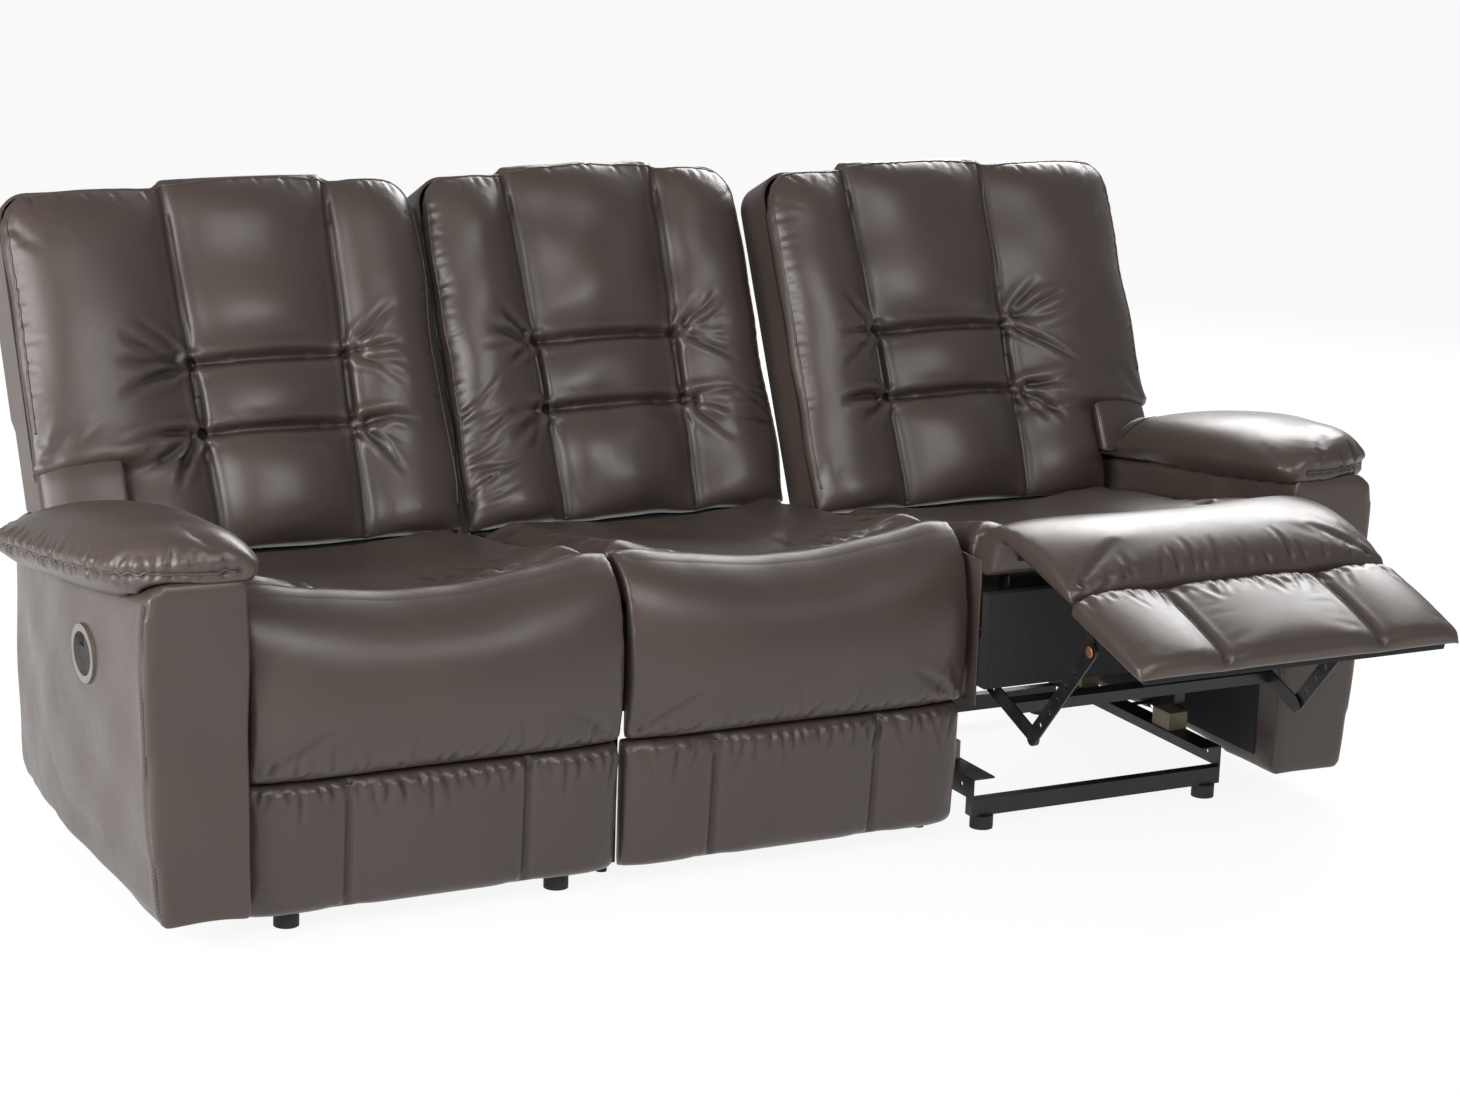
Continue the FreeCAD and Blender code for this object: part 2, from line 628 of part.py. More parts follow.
def side_outline(body, offset, corners):
    """A closed outline of straight edges seen from the side, through (along, depth) pairs."""
    sketch = new_sketch(body, "YZ_Plane", offset)
    count = len(corners)
    points = [Vector(along[0], depth[0], 0) for along, depth in corners]
    for index in range(count):
        sketch.addGeometry(Part.LineSegment(points[index], points[(index + 1) % count]), False)
    for index, (along, depth) in enumerate(corners):
        sketch.addConstraint(Sketcher.Constraint("Coincident", index, 2, (index + 1) % count, 1))
        tie(sketch, "DistanceX", (-1, 1, index, 1), *along)
        tie(sketch, "DistanceY", (-1, 1, index, 1), *depth)
    return sketch


def slope_wing_foot(unit, body):
    """Slope the underside of a wing so that it passes over the arm as the back reclines."""
    front = (-size.pad_base, "-Sizes.pad_base")
    rear = (-size.pad_base - size.back_depth, "-Sizes.pad_base - Sizes.back_depth")
    foot = (size.wing_foot, "Sizes.wing_foot")
    head = (size.wing_foot + size.wing_rise, "Sizes.wing_foot + Sizes.wing_rise")
    upright = 1.8 * size.shell_wall
    thick = (foot[0] + upright, f"{foot[1]} + 1.8 * Sizes.shell_wall")
    thick_head = (head[0] + upright, f"{head[1]} + 1.8 * Sizes.shell_wall")
    inner = "Sizes.seat_half - 3" if unit.side > 0 else "3 - Sizes.seat_half - Sizes.wing_reach"
    wedge = body.newObject("PartDesign::Pocket", body.Name + "_slope")
    wedge.Profile = side_outline(body, inner, [(foot, front), (head, rear), (foot, rear)])
    wedge.Reversed = True
    wedge.setExpression("Length", "Sizes.wing_reach")
    floor = body.newObject("PartDesign::Pad", body.Name + "_sloping_foot")
    floor.Profile = side_outline(body, inner, [(foot, front), (thick, front), (thick_head, rear), (head, rear)])
    floor.setExpression("Length", "Sizes.wing_reach")


def back_panel(unit):
    """Outer shell of a back: a tray that holds the frame, with rounded top corners."""
    body = doc.addObject("PartDesign::Body", unit.name + "_back_shell")
    pad = body.newObject("PartDesign::Pad", body.Name + "_pad")
    pad.Profile = outline_sketch(body, back_corners(unit, 0, "0"), "-Sizes.pad_base - Sizes.back_depth")
    pad.setExpression("Length", "Sizes.back_depth")
    pocket = body.newObject("PartDesign::Pocket", body.Name + "_hollow")
    pocket.Profile = outline_sketch(body, back_corners(unit, size.shell_wall, "Sizes.shell_wall", -30),
                                    "-Sizes.pad_base")
    pocket.setExpression("Length", "Sizes.back_depth - Sizes.shell_wall")
    if unit.side:
        slope_wing_foot(unit, body)
    body.Placement = back_plane()
    return body


def back_frame(unit):
    """Wooden frame of a back: two stiles and three rails, and the wing's stile where there is one."""
    stile_low = "Sizes.link_x + Sizes.plate"
    stile_high = "Sizes.link_x + Sizes.plate + Sizes.stile_width"
    deep = ("-Sizes.pad_base - Sizes.back_depth + Sizes.shell_wall", "-Sizes.pad_base")
    shallow = ("-Sizes.pad_base - Sizes.board", "-Sizes.pad_base")
    head = "Sizes.back_height - Sizes.shell_wall - Sizes.corner_radius"
    pieces = [
        box(unit.name + "_stile_right", ((stile_low, stile_high), ("-16", head), deep)),
        box(unit.name + "_stile_left", ((f"-({stile_high})", f"-({stile_low})"), ("-16", head), deep)),
    ]
    for name, foot in (("foot", "-16"), ("middle", "Sizes.roll_head - Sizes.rail_height / 2"),
                       ("top", f"{head} - Sizes.rail_height")):
        pieces.append(box(f"{unit.name}_rail_{name}", (
            (f"-({stile_low})", stile_low), (foot, f"{foot} + Sizes.rail_height"), shallow)))
    if unit.side:
        wing_out = "Sizes.seat_half - 3 - Sizes.shell_wall + Sizes.wing_reach"
        wing_in = f"{wing_out} - Sizes.stile_width"
        foot = "Sizes.wing_foot + Sizes.wing_rise + 1.8 * Sizes.shell_wall"
        spans = [((wing_in, wing_out), (foot, head), deep)]
        for low in (foot, f"{head} - Sizes.rail_height"):
            spans.append(((stile_high, wing_in), (low, f"{low} + Sizes.rail_height"), shallow))
        for index, (across, along, through) in enumerate(spans):
            if unit.side < 0:
                across = (f"-({across[1]})", f"-({across[0]})")
            pieces.append(box(f"{unit.name}_wing_board{index}", (across, along, through)))
    frame = doc.addObject("Part::Compound", unit.name + "_back_boards")
    frame.Links = pieces
    frame.Placement = back_plane()
    return [frame]


def seat_box(unit):
    """Boards of a seat box: front, rear and two sides."""
    half = "Sizes.seat_half - 2"
    rear_face = "Sizes.cushion_rear_y - Sizes.board"
    behind_front = "Sizes.front_board_y + Sizes.board"
    under = "Sizes.box_bottom_z"
    top = "Sizes.cushion_bottom_z"
    rear = "Sizes.cushion_rear_y + Sizes.board"
    if unit.side == 0:
        under = "Sizes.foot_height"
        rear = "Sizes.recline_y + Sizes.leg_width"
    side_board = box(unit.name + "_side_board", (
        (f"{half} - Sizes.board", half), (behind_front, rear), (under, top)))
    pieces = both_sides([side_board])
    pieces.append(box(unit.name + "_front_board", (
        (f"-({half})", half), ("Sizes.front_board_y", behind_front),
        ("Sizes.box_bottom_z", "Sizes.front_board_z"))))
    reach = "Sizes.plate_x" if unit.side else f"{half} - Sizes.board"
    pieces.append(box(unit.name + "_rear_board", (
        (f"-({reach})", reach), (rear_face, "Sizes.cushion_rear_y"), ("Sizes.box_bottom_z", top))))
    if unit.side == 0:
        pieces += centre_front_boards()
    return pieces


def centre_front_boards():
    """Plywood behind the fixed seat's front pads, and the battens that hold it."""
    wide = ("20 - Sizes.seat_half", "Sizes.seat_half - 20")
    chaise_rear = "Sizes.chaise_back_y + Sizes.footrest_ply"
    batten = box("centre_batten", (("Sizes.foot_x", "Sizes.foot_x + Sizes.stile_width"),
                                   (chaise_rear, "Sizes.front_board_y"),
                                   ("Sizes.chaise_bottom_z + 34", "Sizes.front_board_z")))
    post = box("centre_post", (("Sizes.foot_x", "Sizes.foot_x + Sizes.stile_width"),
                               ("Sizes.panel_back_y + Sizes.footrest_ply",
                                "Sizes.panel_back_y + 2 * Sizes.footrest_ply"),
                               ("Sizes.panel_bottom_z + 14", "Sizes.box_bottom_z")))
    ply = box("centre_chaise_board", (wide, ("Sizes.chaise_back_y", chaise_rear),
                                      ("Sizes.chaise_bottom_z + 14", "Sizes.front_board_z")))
    low_ply = box("centre_foot_board", (wide, ("Sizes.panel_back_y", "Sizes.panel_back_y + Sizes.footrest_ply"),
                                        ("Sizes.panel_bottom_z + 14", "Sizes.chaise_bottom_z - 16")))
    rear_post = box("centre_rear_post", (("Sizes.link_x + Sizes.plate", "Sizes.seat_half - 2 - Sizes.board"),
                                         ("Sizes.recline_y - Sizes.leg_width", "Sizes.recline_y + Sizes.leg_width"),
                                         ("Sizes.foot_height", "Sizes.cushion_bottom_z")))
    return both_sides([batten, post, rear_post]) + [ply, low_ply]


def zigzag(x_middle, y_first, y_last, bends):
    """Centre line of a sinuous seat spring: runs across the seat joined by half turns."""
    step = (y_last - y_first) / bends
    radius = step / 2
    half = size.spring_run / 2
    level = size.cushion_bottom_z - size.spring_wire / 2 - 0.3
    edges = []
    for index in range(bends + 1):
        y = y_first + index * step
        side = 1 if index % 2 == 0 else -1
        start = Vector(x_middle - side * half, y, level)
        end = Vector(x_middle + side * half, y, level)
        edges.append(Part.LineSegment(start, end).toShape())
        if index == bends:
            break
        bulge = side * radius
        short = radius * math.sqrt(0.5)
        crown = end + Vector(bulge, radius, 0)
        edges.append(Part.Arc(end, end + Vector(side * short, radius - short, 0), crown).toShape())
        edges.append(Part.Arc(crown, end + Vector(side * short, radius + short, 0),
                              end + Vector(0, step, 0)).toShape())
    return Part.Wire(edges)


def seat_springs(unit):
    """Four sinuous springs from the front board to the rear board."""
    pieces = []
    reach = size.spring_wire / 2 + 0.3
    first = size.front_board_y + size.board + reach
    last = size.cushion_rear_y - size.board - reach
    for index in range(4):
        path = zigzag((index - 1.5) * size.spring_pitch, first, last, 12)
        ring = Part.Wire(Part.makeCircle(size.spring_wire / 2, path.Edges[0].Vertexes[0].Point,
                                         Vector(1, 0, 0)))
        pieces.append(shaped(f"{unit.name}_spring{index}", path.makePipeShell([ring], True, False)))
    return pieces


def pin_hole():
    """Radius of a running hole for a pivot pin, as a number and as an expression."""
    return size.pin_radius + size.pin_clearance, "Sizes.pin_radius + Sizes.pin_clearance"


def side_plates(unit):
    """Side plates of a recliner: neck, long plate and two legs that stand on the glides."""
    for name, y in (("front_leg", size.front_leg_y), ("rear_leg", size.rear_leg_y)):
        if not hasattr(size, name + "_top_y"):
            size.add(name + "_top_y", y, "upper end of a leg")
            size.add(name + "_top_z", size.plate_z, "height of that end")
            size.add(name + "_foot_y", y, "lower end of a leg")
            size.add(name + "_foot_z", size.rail_top_z + size.leg_width, "height of that end")
    if not hasattr(size, "plate_front_y"):
        behind_board = size.front_board_y + size.board + 0.5
        size.add("plate_front_y", behind_board + size.plate_width / 2, "front end of the long plate")
        size.add("plate_front_z", size.plate_z, "height of that end")
        size.add("neck_foot_y", size.neck_y, "foot of the neck")
        size.add("neck_foot_z", size.plate_z, "height of that foot")
        size.add("boss_y", size.drive_pivot_y, "root of the drive link's boss")
        size.add("boss_z", size.plate_z, "height of that root")
    doc.recompute()
    straps = (("hinge", "neck", "neck_width"), ("neck", "neck_foot", "neck_width"),
              ("plate_front", "recline", "plate_width"), ("boss", "drive_pivot", "leg_width"),
              ("front_leg_top", "front_leg_foot", "leg_width"), ("rear_leg_top", "rear_leg_foot", "leg_width"))
    tight = (size.pin_radius, "Sizes.pin_radius")
    holes = [(point, *tight) for point in ("hinge", "drive_pivot", "recline")]
    return both_sides([strap_plate(unit.name + "_plate", straps, holes, "Sizes.plate_x")])


def pivot_pins(unit):
    """Pins of the side plates' pivots, and the spacers that bolt the plates to the seat box."""
    outer = "Sizes.link_x + Sizes.plate + Sizes.plate_gap"
    pins = [pin(f"{unit.name}_{point}_pin", "Sizes.pin_radius", ("Sizes.plate_x", outer), point)
            for point in ("hinge", "drive_pivot", "recline")]
    board_face = "Sizes.seat_half - 2 - Sizes.board"
    for index, y in enumerate(("130", "400", "Sizes.cushion_rear_y")):
        spacer = doc.addObject("Part::Cylinder", f"{unit.name}_spacer{index}")
        spacer.Placement = Placement(Vector(), Rotation(Vector(0, 1, 0), 90))
        start = "Sizes.plate_x + Sizes.plate"
        bind(spacer, Radius="Sizes.pin_radius * 1.6", Height=f"{board_face} - ({start})",
             Placement__Base__x=start, Placement__Base__y=y, Placement__Base__z="Sizes.plate_z")
        pins.append(spacer)
    return both_sides(pins)


def glides(unit):
    """Nylon glides under the side plates' legs, running on the base side rails."""
    pieces = []
    for name in ("front_leg", "rear_leg"):
        foot = "Sizes.rail_top_z + Sizes.glide_gap"
        pieces.append(box(f"{unit.name}_{name}_glide", (
            ("Sizes.plate_x - Sizes.rail_flange + 4", "Sizes.plate_x"),
            (f"Sizes.{name}_y - Sizes.glide_length / 2", f"Sizes.{name}_y + Sizes.glide_length / 2"),
            (foot, f"{foot} + Sizes.leg_width"))))
    return both_sides(pieces)


def footrest_boards(unit):
    """Plywood behind the chaise pad and behind the lower panel."""
    wide = ("20 - Sizes.seat_half", "Sizes.seat_half - 20")
    return [
        box(unit.name + "_chaise_board", (wide, (
            "Sizes.chaise_back_y", "Sizes.chaise_back_y + Sizes.footrest_ply"),
            ("Sizes.chaise_bottom_z + 14", "Sizes.front_board_z + 8"))),
        box(unit.name + "_foot_board", (wide, (
            "Sizes.panel_back_y", "Sizes.panel_back_y + Sizes.footrest_ply"),
            ("Sizes.panel_bottom_z + 14", "Sizes.chaise_bottom_z - 18"))),
    ]


def footrest_brackets(unit):
    """Brackets of the footrest: from the hinge along both boards, with an arm to the front pivot."""
    straps = (("hinge", "strap_top", "strap_width"), ("strap_top", "strap_mid", "strap_width"),
              ("strap_mid", "strap_low", "strap_width"), ("strap_low", "strap_foot", "strap_width"),
              ("strap_mid", "front_pivot", "strap_width"))
    radius, text = pin_hole()
    plate = strap_plate(unit.name + "_bracket", straps,
                        [("hinge", radius, text), ("front_pivot", size.pin_radius, "Sizes.pin_radius")],
                        "Sizes.link_x")
    rivet = pin(unit.name + "_front_pin", "Sizes.pin_radius",
                ("Sizes.link_x", "Sizes.outer_link_x + Sizes.plate + 1"), "front_pivot")
    return both_sides([plate, rivet])


def between(first, last, share, name, note):
    """Add a named point part of the way from one named point to another."""
    if hasattr(size, name + "_y"):
        return
    start, end = named_point(first), named_point(last)
    size.add(name + "_y", start.x + (end.x - start.x) * share, note)
    size.add(name + "_z", start.y + (end.y - start.y) * share, note)


def drive_links(unit):
    """Drive links: from the side plates' fixed pivots to the front links' lower pivots."""
    small = (size.link_hole_radius, "Sizes.link_hole_radius")
    radius, text = pin_hole()
    holes = [("drive_pivot", radius, text), ("lower_pivot", size.pin_radius, "Sizes.pin_radius")]
    for index, share in enumerate((0.2, 0.35, 0.5)):
        between("drive_pivot", "lower_pivot", share, f"drive_hole{index}", "lightening hole")
        holes.append((f"drive_hole{index}", *small))
    doc.recompute()
    plate = strap_plate(unit.name + "_drive_link", (("drive_pivot", "lower_pivot", "link_width"),),
                        holes, "Sizes.link_x")
    rivet = pin(unit.name + "_lower_pin", "Sizes.pin_radius",
                ("Sizes.link_x", "Sizes.outer_link_x + Sizes.plate + 1"), "lower_pivot")
    return both_sides([plate, rivet])


def torque_tube(unit):
    """Square tube that joins the two drive links of a seat."""
    half = "Sizes.tube_side / 2"
    wall = "Sizes.plate_gap"
    outer = box(unit.name + "_tube_outside", (
        ("-Sizes.link_x", "Sizes.link_x"), (f"Sizes.tube_y - {half}", f"Sizes.tube_y + {half}"),
        (f"Sizes.tube_z - {half}", f"Sizes.tube_z + {half}")))
    inner = box(unit.name + "_tube_inside", (
        ("-Sizes.link_x - 1", "Sizes.link_x + 1"),
        (f"Sizes.tube_y - {half} + {wall}", f"Sizes.tube_y + {half} - {wall}"),
        (f"Sizes.tube_z - {half} + {wall}", f"Sizes.tube_z + {half} - {wall}")))
    tube = doc.addObject("Part::Cut", unit.name + "_tube")
    tube.Base = outer
    tube.Tool = inner
    return [tube]


def front_links(unit):
    """Front links: from the footrest's brackets down to the drive links."""
    small = (size.link_hole_radius, "Sizes.link_hole_radius")
    radius, text = pin_hole()
    holes = [("front_pivot", radius, text), ("lower_pivot", size.pin_radius + 0.5, "Sizes.pin_radius + 0.5")]
    for index, share in enumerate((0.25, 0.4, 0.55, 0.7, 0.85)):
        between("front_pivot", "lower_pivot", share, f"front_hole{index}", "lightening hole")
        holes.append((f"front_hole{index}", *small))
    doc.recompute()
    return both_sides([strap_plate(unit.name + "_front_link",
                                   (("front_pivot", "lower_pivot", "link_width"),), holes,
                                   "Sizes.outer_link_x")])


def back_brackets(unit):
    """Steel brackets from the recline pivot up the inner faces of the back's stiles."""
    if not hasattr(size, "bracket_low_y"):
        for name, along in (("bracket_low", 40), ("bracket_high", 160)):
            point = back_plane().multVec(Vector(0, along, -size.pad_base - size.back_depth / 2))
            size.add(name + "_y", point.y, "back bracket")
            size.add(name + "_z", point.z, "back bracket")
        doc.recompute()
    radius, text = pin_hole()
    straps = (("recline", "bracket_low", "recline_plate_width"),
              ("bracket_low", "bracket_high", "recline_plate_width"))
    return both_sides([strap_plate(unit.name + "_back_bracket", straps, [("recline", radius, text)],
                                   "Sizes.link_x")])


def cross_rails(unit):
    """Front and rear cross rails of a recliner's base."""
    across = ("-Sizes.plate_x", "Sizes.plate_x")
    up = ("Sizes.foot_height", "Sizes.foot_height + Sizes.cross_rail_height")
    return [box(f"{unit.name}_{end}_rail", (across, (y, f"{y} + Sizes.cross_rail_depth"), up))
            for end, y in (("front", "Sizes.cross_rail_y"), ("rear", "Sizes.rear_rail_y"))]


def side_rail(unit):
    """Perforated angle that carries a seat's glides."""
    body = doc.addObject("PartDesign::Body", unit.name + "_rail")
    foot = "Sizes.foot_height + Sizes.cross_rail_height"
    base = size.foot_height + size.cross_rail_height
    outer, wall = size.plate_x, size.plate
    corners = ((outer, "Sizes.plate_x", base, foot),
               (outer, "Sizes.plate_x", size.rail_top_z, "Sizes.rail_top_z"),
               (outer - size.rail_flange, "Sizes.plate_x - Sizes.rail_flange", size.rail_top_z, "Sizes.rail_top_z"),
               (outer - size.rail_flange, "Sizes.plate_x - Sizes.rail_flange", size.rail_top_z - wall,
                "Sizes.rail_top_z - Sizes.plate"),
               (outer - wall, "Sizes.plate_x - Sizes.plate", size.rail_top_z - wall,
                "Sizes.rail_top_z - Sizes.plate"),
               (outer - wall, "Sizes.plate_x - Sizes.plate", base, foot))
    sketch = new_sketch(body, "XZ_Plane", "-Sizes.rail_front_y")
    count = len(corners)
    for index in range(count):
        here, there = corners[index], corners[(index + 1) % count]
        sketch.addGeometry(Part.LineSegment(Vector(here[0], here[2], 0), Vector(there[0], there[2], 0)), False)
    for index, (x_value, x_text, z_value, z_text) in enumerate(corners):
        sketch.addConstraint(Sketcher.Constraint("Coincident", index, 2, (index + 1) % count, 1))
        tie(sketch, "DistanceX", (-1, 1, index, 1), x_value, x_text)
        tie(sketch, "DistanceY", (-1, 1, index, 1), z_value, z_text)
    pad = body.newObject("PartDesign::Pad", body.Name + "_pad")
    pad.Profile = sketch
    pad.Reversed = True
    pad.setExpression("Length", "Sizes.rail_length")
    hole = new_sketch(body, "YZ_Plane", "Sizes.plate_x")
    centre = Vector(size.rail_front_y + size.rail_side, base + size.rail_side / 2, 0)
    circle = hole.addGeometry(Part.Circle(centre, Vector(0, 0, 1), size.link_hole_radius), False)
    tie(hole, "Radius", (circle,), size.link_hole_radius, "Sizes.link_hole_radius")
    tie(hole, "DistanceX", (-1, 1, circle, 3), centre.x, "Sizes.rail_front_y + Sizes.rail_side")
    tie(hole, "DistanceY", (-1, 1, circle, 3), centre.y, f"{foot} + Sizes.rail_side / 2")
    pocket = body.newObject("PartDesign::Pocket", body.Name + "_hole")
    pocket.Profile = hole
    pocket.setExpression("Length", "Sizes.plate")
    pattern = body.newObject("PartDesign::LinearPattern", body.Name + "_holes")
    pattern.Originals = [pocket]
    pattern.Direction = (hole, ["H_Axis"])
    pattern.setExpression("Length", "Sizes.rail_length - 2 * Sizes.rail_side")
    pattern.Occurrences = 9
    body.Tip = pattern
    return both_sides([body])


def feet(unit):
    """Four round feet under a seat."""
    pieces = []
    for name, y in (("front", "Sizes.cross_rail_y"), ("rear", "Sizes.rear_rail_y")):
        foot = doc.addObject("Part::Cylinder", f"{unit.name}_{name}_foot")
        x = "Sizes.foot_x" if unit.side else "Sizes.seat_half - 2 - Sizes.board / 2"
        if unit.side == 0 and name == "front":
            y = "Sizes.cross_rail_y + 2 * Sizes.cross_rail_depth"
        bind(foot, Radius="Sizes.foot_radius" if unit.side else "Sizes.board / 2", Height="Sizes.foot_height",
             Placement__Base__x=x, Placement__Base__y=f"{y} + Sizes.cross_rail_depth / 2")
        pieces.append(foot)
    return both_sides(pieces)


def connector_bars(unit):
    """Flat bars that tie a recliner's base to the arm on one side and the fixed seat on the other."""
    pieces = []
    level = "Sizes.foot_height + Sizes.cross_rail_height"
    for index, y in enumerate(("300", "Sizes.rear_rail_y")):
        spans = {
            unit.side: "Sizes.arm_inner_x - Sizes.seat_pitch",
            -unit.side: "Sizes.seat_pitch - Sizes.seat_half + 2",
        }
        for side, reach in spans.items():
            across = ("Sizes.plate_x", reach) if side > 0 else (f"-({reach})", "-Sizes.plate_x")
            pieces.append(box(f"{unit.name}_bar{index}{side + 1}", (
                across, (y, f"{y} + Sizes.rail_flange"), (level, f"{level} + 2 * Sizes.plate"))))
    return pieces


def arm_section(side, y, back, inset):
    """Section of an arm's body across the sofa; back runs from 0 at the front to 1 at the rear."""
    inner = size.arm_inner_x + inset
    foot = size.arm_foot_z + (size.arm_foot_rear_z - size.arm_foot_z) * back
    top = size.arm_front_z - (size.arm_front_z - size.arm_rear_z) * min(1, 1.18 * back) - inset
    narrowing = size.arm_width - size.arm_rear_width
    width = size.arm_width - narrowing * max(0, 2 * back - 1) ** 1.5 - 2 * inset
    swell = (size.arm_width - size.arm_foot_width) * (1 - back ** 3)
    edge = 1.6 * size.edge_radius
    if inset:
        foot = 0
    at = lambda x, z: Vector(side * x, y, z)
    bulge = inner + width
    return closed_wire(
        at(inner, foot), at(bulge - swell, foot),
        (at(bulge - 2, foot + 0.55 * (top - foot)), at(bulge - 3, top - edge)),
        (at(bulge - 3 - 0.3 * edge, top - 0.3 * edge), at(bulge - 3 - edge, top)),
        at(inner, top))


def arm_heel(side):
    """What is taken off an arm to round its rear heel."""
    rear, foot, radius = size.arm_rear_y, size.arm_foot_rear_z, size.arm_heel
    at = lambda y, z: Vector(side * (size.arm_inner_x - 1), y, z)
    chord = radius * (1 - math.sqrt(0.5))
    wire = closed_wire(at(rear + 1, foot - radius), at(rear + 1, foot + radius), at(rear, foot + radius),
                       (at(rear - chord, foot + chord), at(rear - radius, foot)),
                       at(rear - radius, foot - radius))
    return Part.Face(wire).extrude(Vector(side * (size.arm_width + 2), 0, 0))


def arm_body(side, inset):
    """Solid of an arm's body, set in by an amount for its hollow."""
    front, length = size.arm_front_y, size.arm_rear_y - size.arm_front_y
    shares = (inset / length, 0.25, 0.5, 0.65, 0.8, 0.92, 1 - inset / length)
    body = lofted([arm_section(side, front + length * share, share, inset) for share in shares])
    return body if inset else body.cut(arm_heel(side))


def arm_face_x(side):
    """Outer face of an arm at the pull handle."""
    probe = Part.makeLine(Vector(side * size.arm_inner_x, size.bezel_y, size.bezel_z),
                          Vector(side * (size.arm_inner_x + 2 * size.arm_width), size.bezel_y, size.bezel_z))
    inside = probe.common(arm_body(side, 0))
    return max(abs(vertex.X) for vertex in inside.Vertexes)


def ellipse_prism(side, half_length, half_height, x_low, x_high):
    """An elliptical prism along X round the centre of the pull handle."""
    start = side * x_low if side > 0 else side * x_high
    centre = Vector(start, size.bezel_y, size.bezel_z)
    major = centre + Vector(0, half_length, 0)
    minor = centre + Vector(0, 0, half_height)
    curve = Part.Ellipse(major, minor, centre)
    face = Part.Face(Part.Wire(curve.toShape()))
    prism = face.extrude(Vector(x_high - x_low, 0, 0))
    return prism


def cable_route(side):
    """Corner points of the release cable, from the handle to the base side rail."""
    out = arm_face_x(side) - size.bezel_depth
    inside = size.arm_inner_x + size.arm_wall + size.arm_board + 5 * size.cable_radius
    low = size.foot_height + size.cross_rail_height + size.rail_side - 4 * size.cable_radius
    run = size.bezel_y + 4 * size.edge_radius
    rail = size.seat_pitch + size.plate_x
    return [Vector(side * out, size.bezel_y, size.bezel_z), Vector(side * inside, size.bezel_y, size.bezel_z),
            Vector(side * inside, run, low), Vector(side * rail, run, low)]


def rounded_path(points):
    """Straight runs through the points, joined by tangent arcs as large as the runs allow."""
    edges = []
    here = points[0]
    for before, corner, after in zip(points, points[1:], points[2:]):
        back, ahead = (before - corner), (after - corner)
        shorter = min(back.Length, ahead.Length)
        back, ahead = back.normalize(), ahead.normalize()
        turn = math.pi - back.getAngle(ahead)
        trim = 0.45 * shorter
        radius = trim / math.tan(turn / 2)
        start, end = corner + back * trim, corner + ahead * trim
        middle_way = (back + ahead).normalize()
        middle = corner + middle_way * (radius / math.cos(turn / 2) - radius)
        print(f"cable bend radius {radius:.1f}")
        edges.append(Part.LineSegment(here, start).toShape())
        edges.append(Part.Arc(start, middle, end).toShape())
        here = end
    edges.append(Part.LineSegment(here, points[-1]).toShape())
    return Part.Wire(edges)


def release_cable(side):
    """Release cable from the pull handle down inside the arm to the base side rail."""
    path = rounded_path(cable_route(side))
    start = path.Edges[0].Vertexes[0].Point
    ring = Part.Wire(Part.makeCircle(size.cable_radius, start, Vector(1, 0, 0)))
    return path.makePipeShell([ring], True, False)


def cable_hole(side):
    """Hole for the cable through the arm's inner wall."""
    last = cable_route(side)[-1]
    end = size.arm_inner_x + 2 * (size.arm_wall + size.arm_board)
    start = Vector(min(last.x, side * end), last.y, last.z)
    reach = end - abs(last.x)
    return Part.makeCylinder(size.cable_hole_radius, reach, start, Vector(1, 0, 0))


def arm_cover(side):
    """Upholstered shell of an arm, open underneath, with a seat for the handle's bezel."""
    shell = arm_body(side, 0)
    hollow = arm_body(side, size.arm_wall)
    face = arm_face_x(side)
    rim = ellipse_prism(side, size.bezel_half_length + 0.3, size.bezel_half_height + 0.3, face - 4, face + 30)
    cup = ellipse_prism(side, size.bezel_half_length - size.bezel_rim + 0.3,
                        size.bezel_half_height - size.bezel_rim + 0.3, face - size.bezel_depth - 8, face + 30)
    return shell.cut([hollow, rim, cup, cable_hole(side)])


def arm_frame(side, name):
    """Boards inside an arm: inner panel, foot rail and two posts."""
    inner = "Sizes.arm_inner_x + Sizes.arm_wall"
    panel = f"{inner} + Sizes.arm_board"
    width = "Sizes.arm_inner_x + Sizes.arm_rear_width - Sizes.arm_wall - 6"
    front = "Sizes.arm_front_y + Sizes.arm_wall"
    rear = "Sizes.arm_rear_y - Sizes.arm_wall"
    foot = "Sizes.arm_frame_z"
    top = "Sizes.arm_rear_z - 3 * Sizes.arm_wall"
    spans = {
        "panel": ((inner, panel), (front, rear), (foot, top)),
        "foot": ((f"{panel} + Sizes.board", width), (front, rear), (foot, f"{foot} + Sizes.board")),
        "front_post": ((panel, width), (front, f"{front} + Sizes.board"), (f"{foot} + Sizes.board", top)),
        "rear_post": ((panel, width), (f"{rear} - Sizes.board", rear), (f"{foot} + Sizes.board", top)),
    }
    pieces = []
    for key, (across, along, up) in spans.items():
        if side < 0:
            across = (f"-({across[1]})", f"-({across[0]})")
        pieces.append(box(f"{name}_{key}", (across, along, up)))
    return pieces


def pillow_section(side, y, inner, outer, low, high):
    """Oval section of an arm pillow."""
    middle = (inner + outer) / 2
    belt = low + 0.5 * (high - low)
    at = lambda x, z: Vector(side * x, y, z)
    lean_x, lean_z = 0.16 * (outer - inner), 0.14 * (high - low)
    return closed_wire(
        at(inner, belt), (at(inner + lean_x, high - lean_z), at(middle, high)),
        (at(outer - lean_x, high - lean_z), at(outer, belt)),
        (at(outer - 0.6 * lean_x, low + 0.9 * lean_z), at(middle, low)),
        (at(inner + 0.6 * lean_x, low + 0.9 * lean_z), at(inner, belt)))


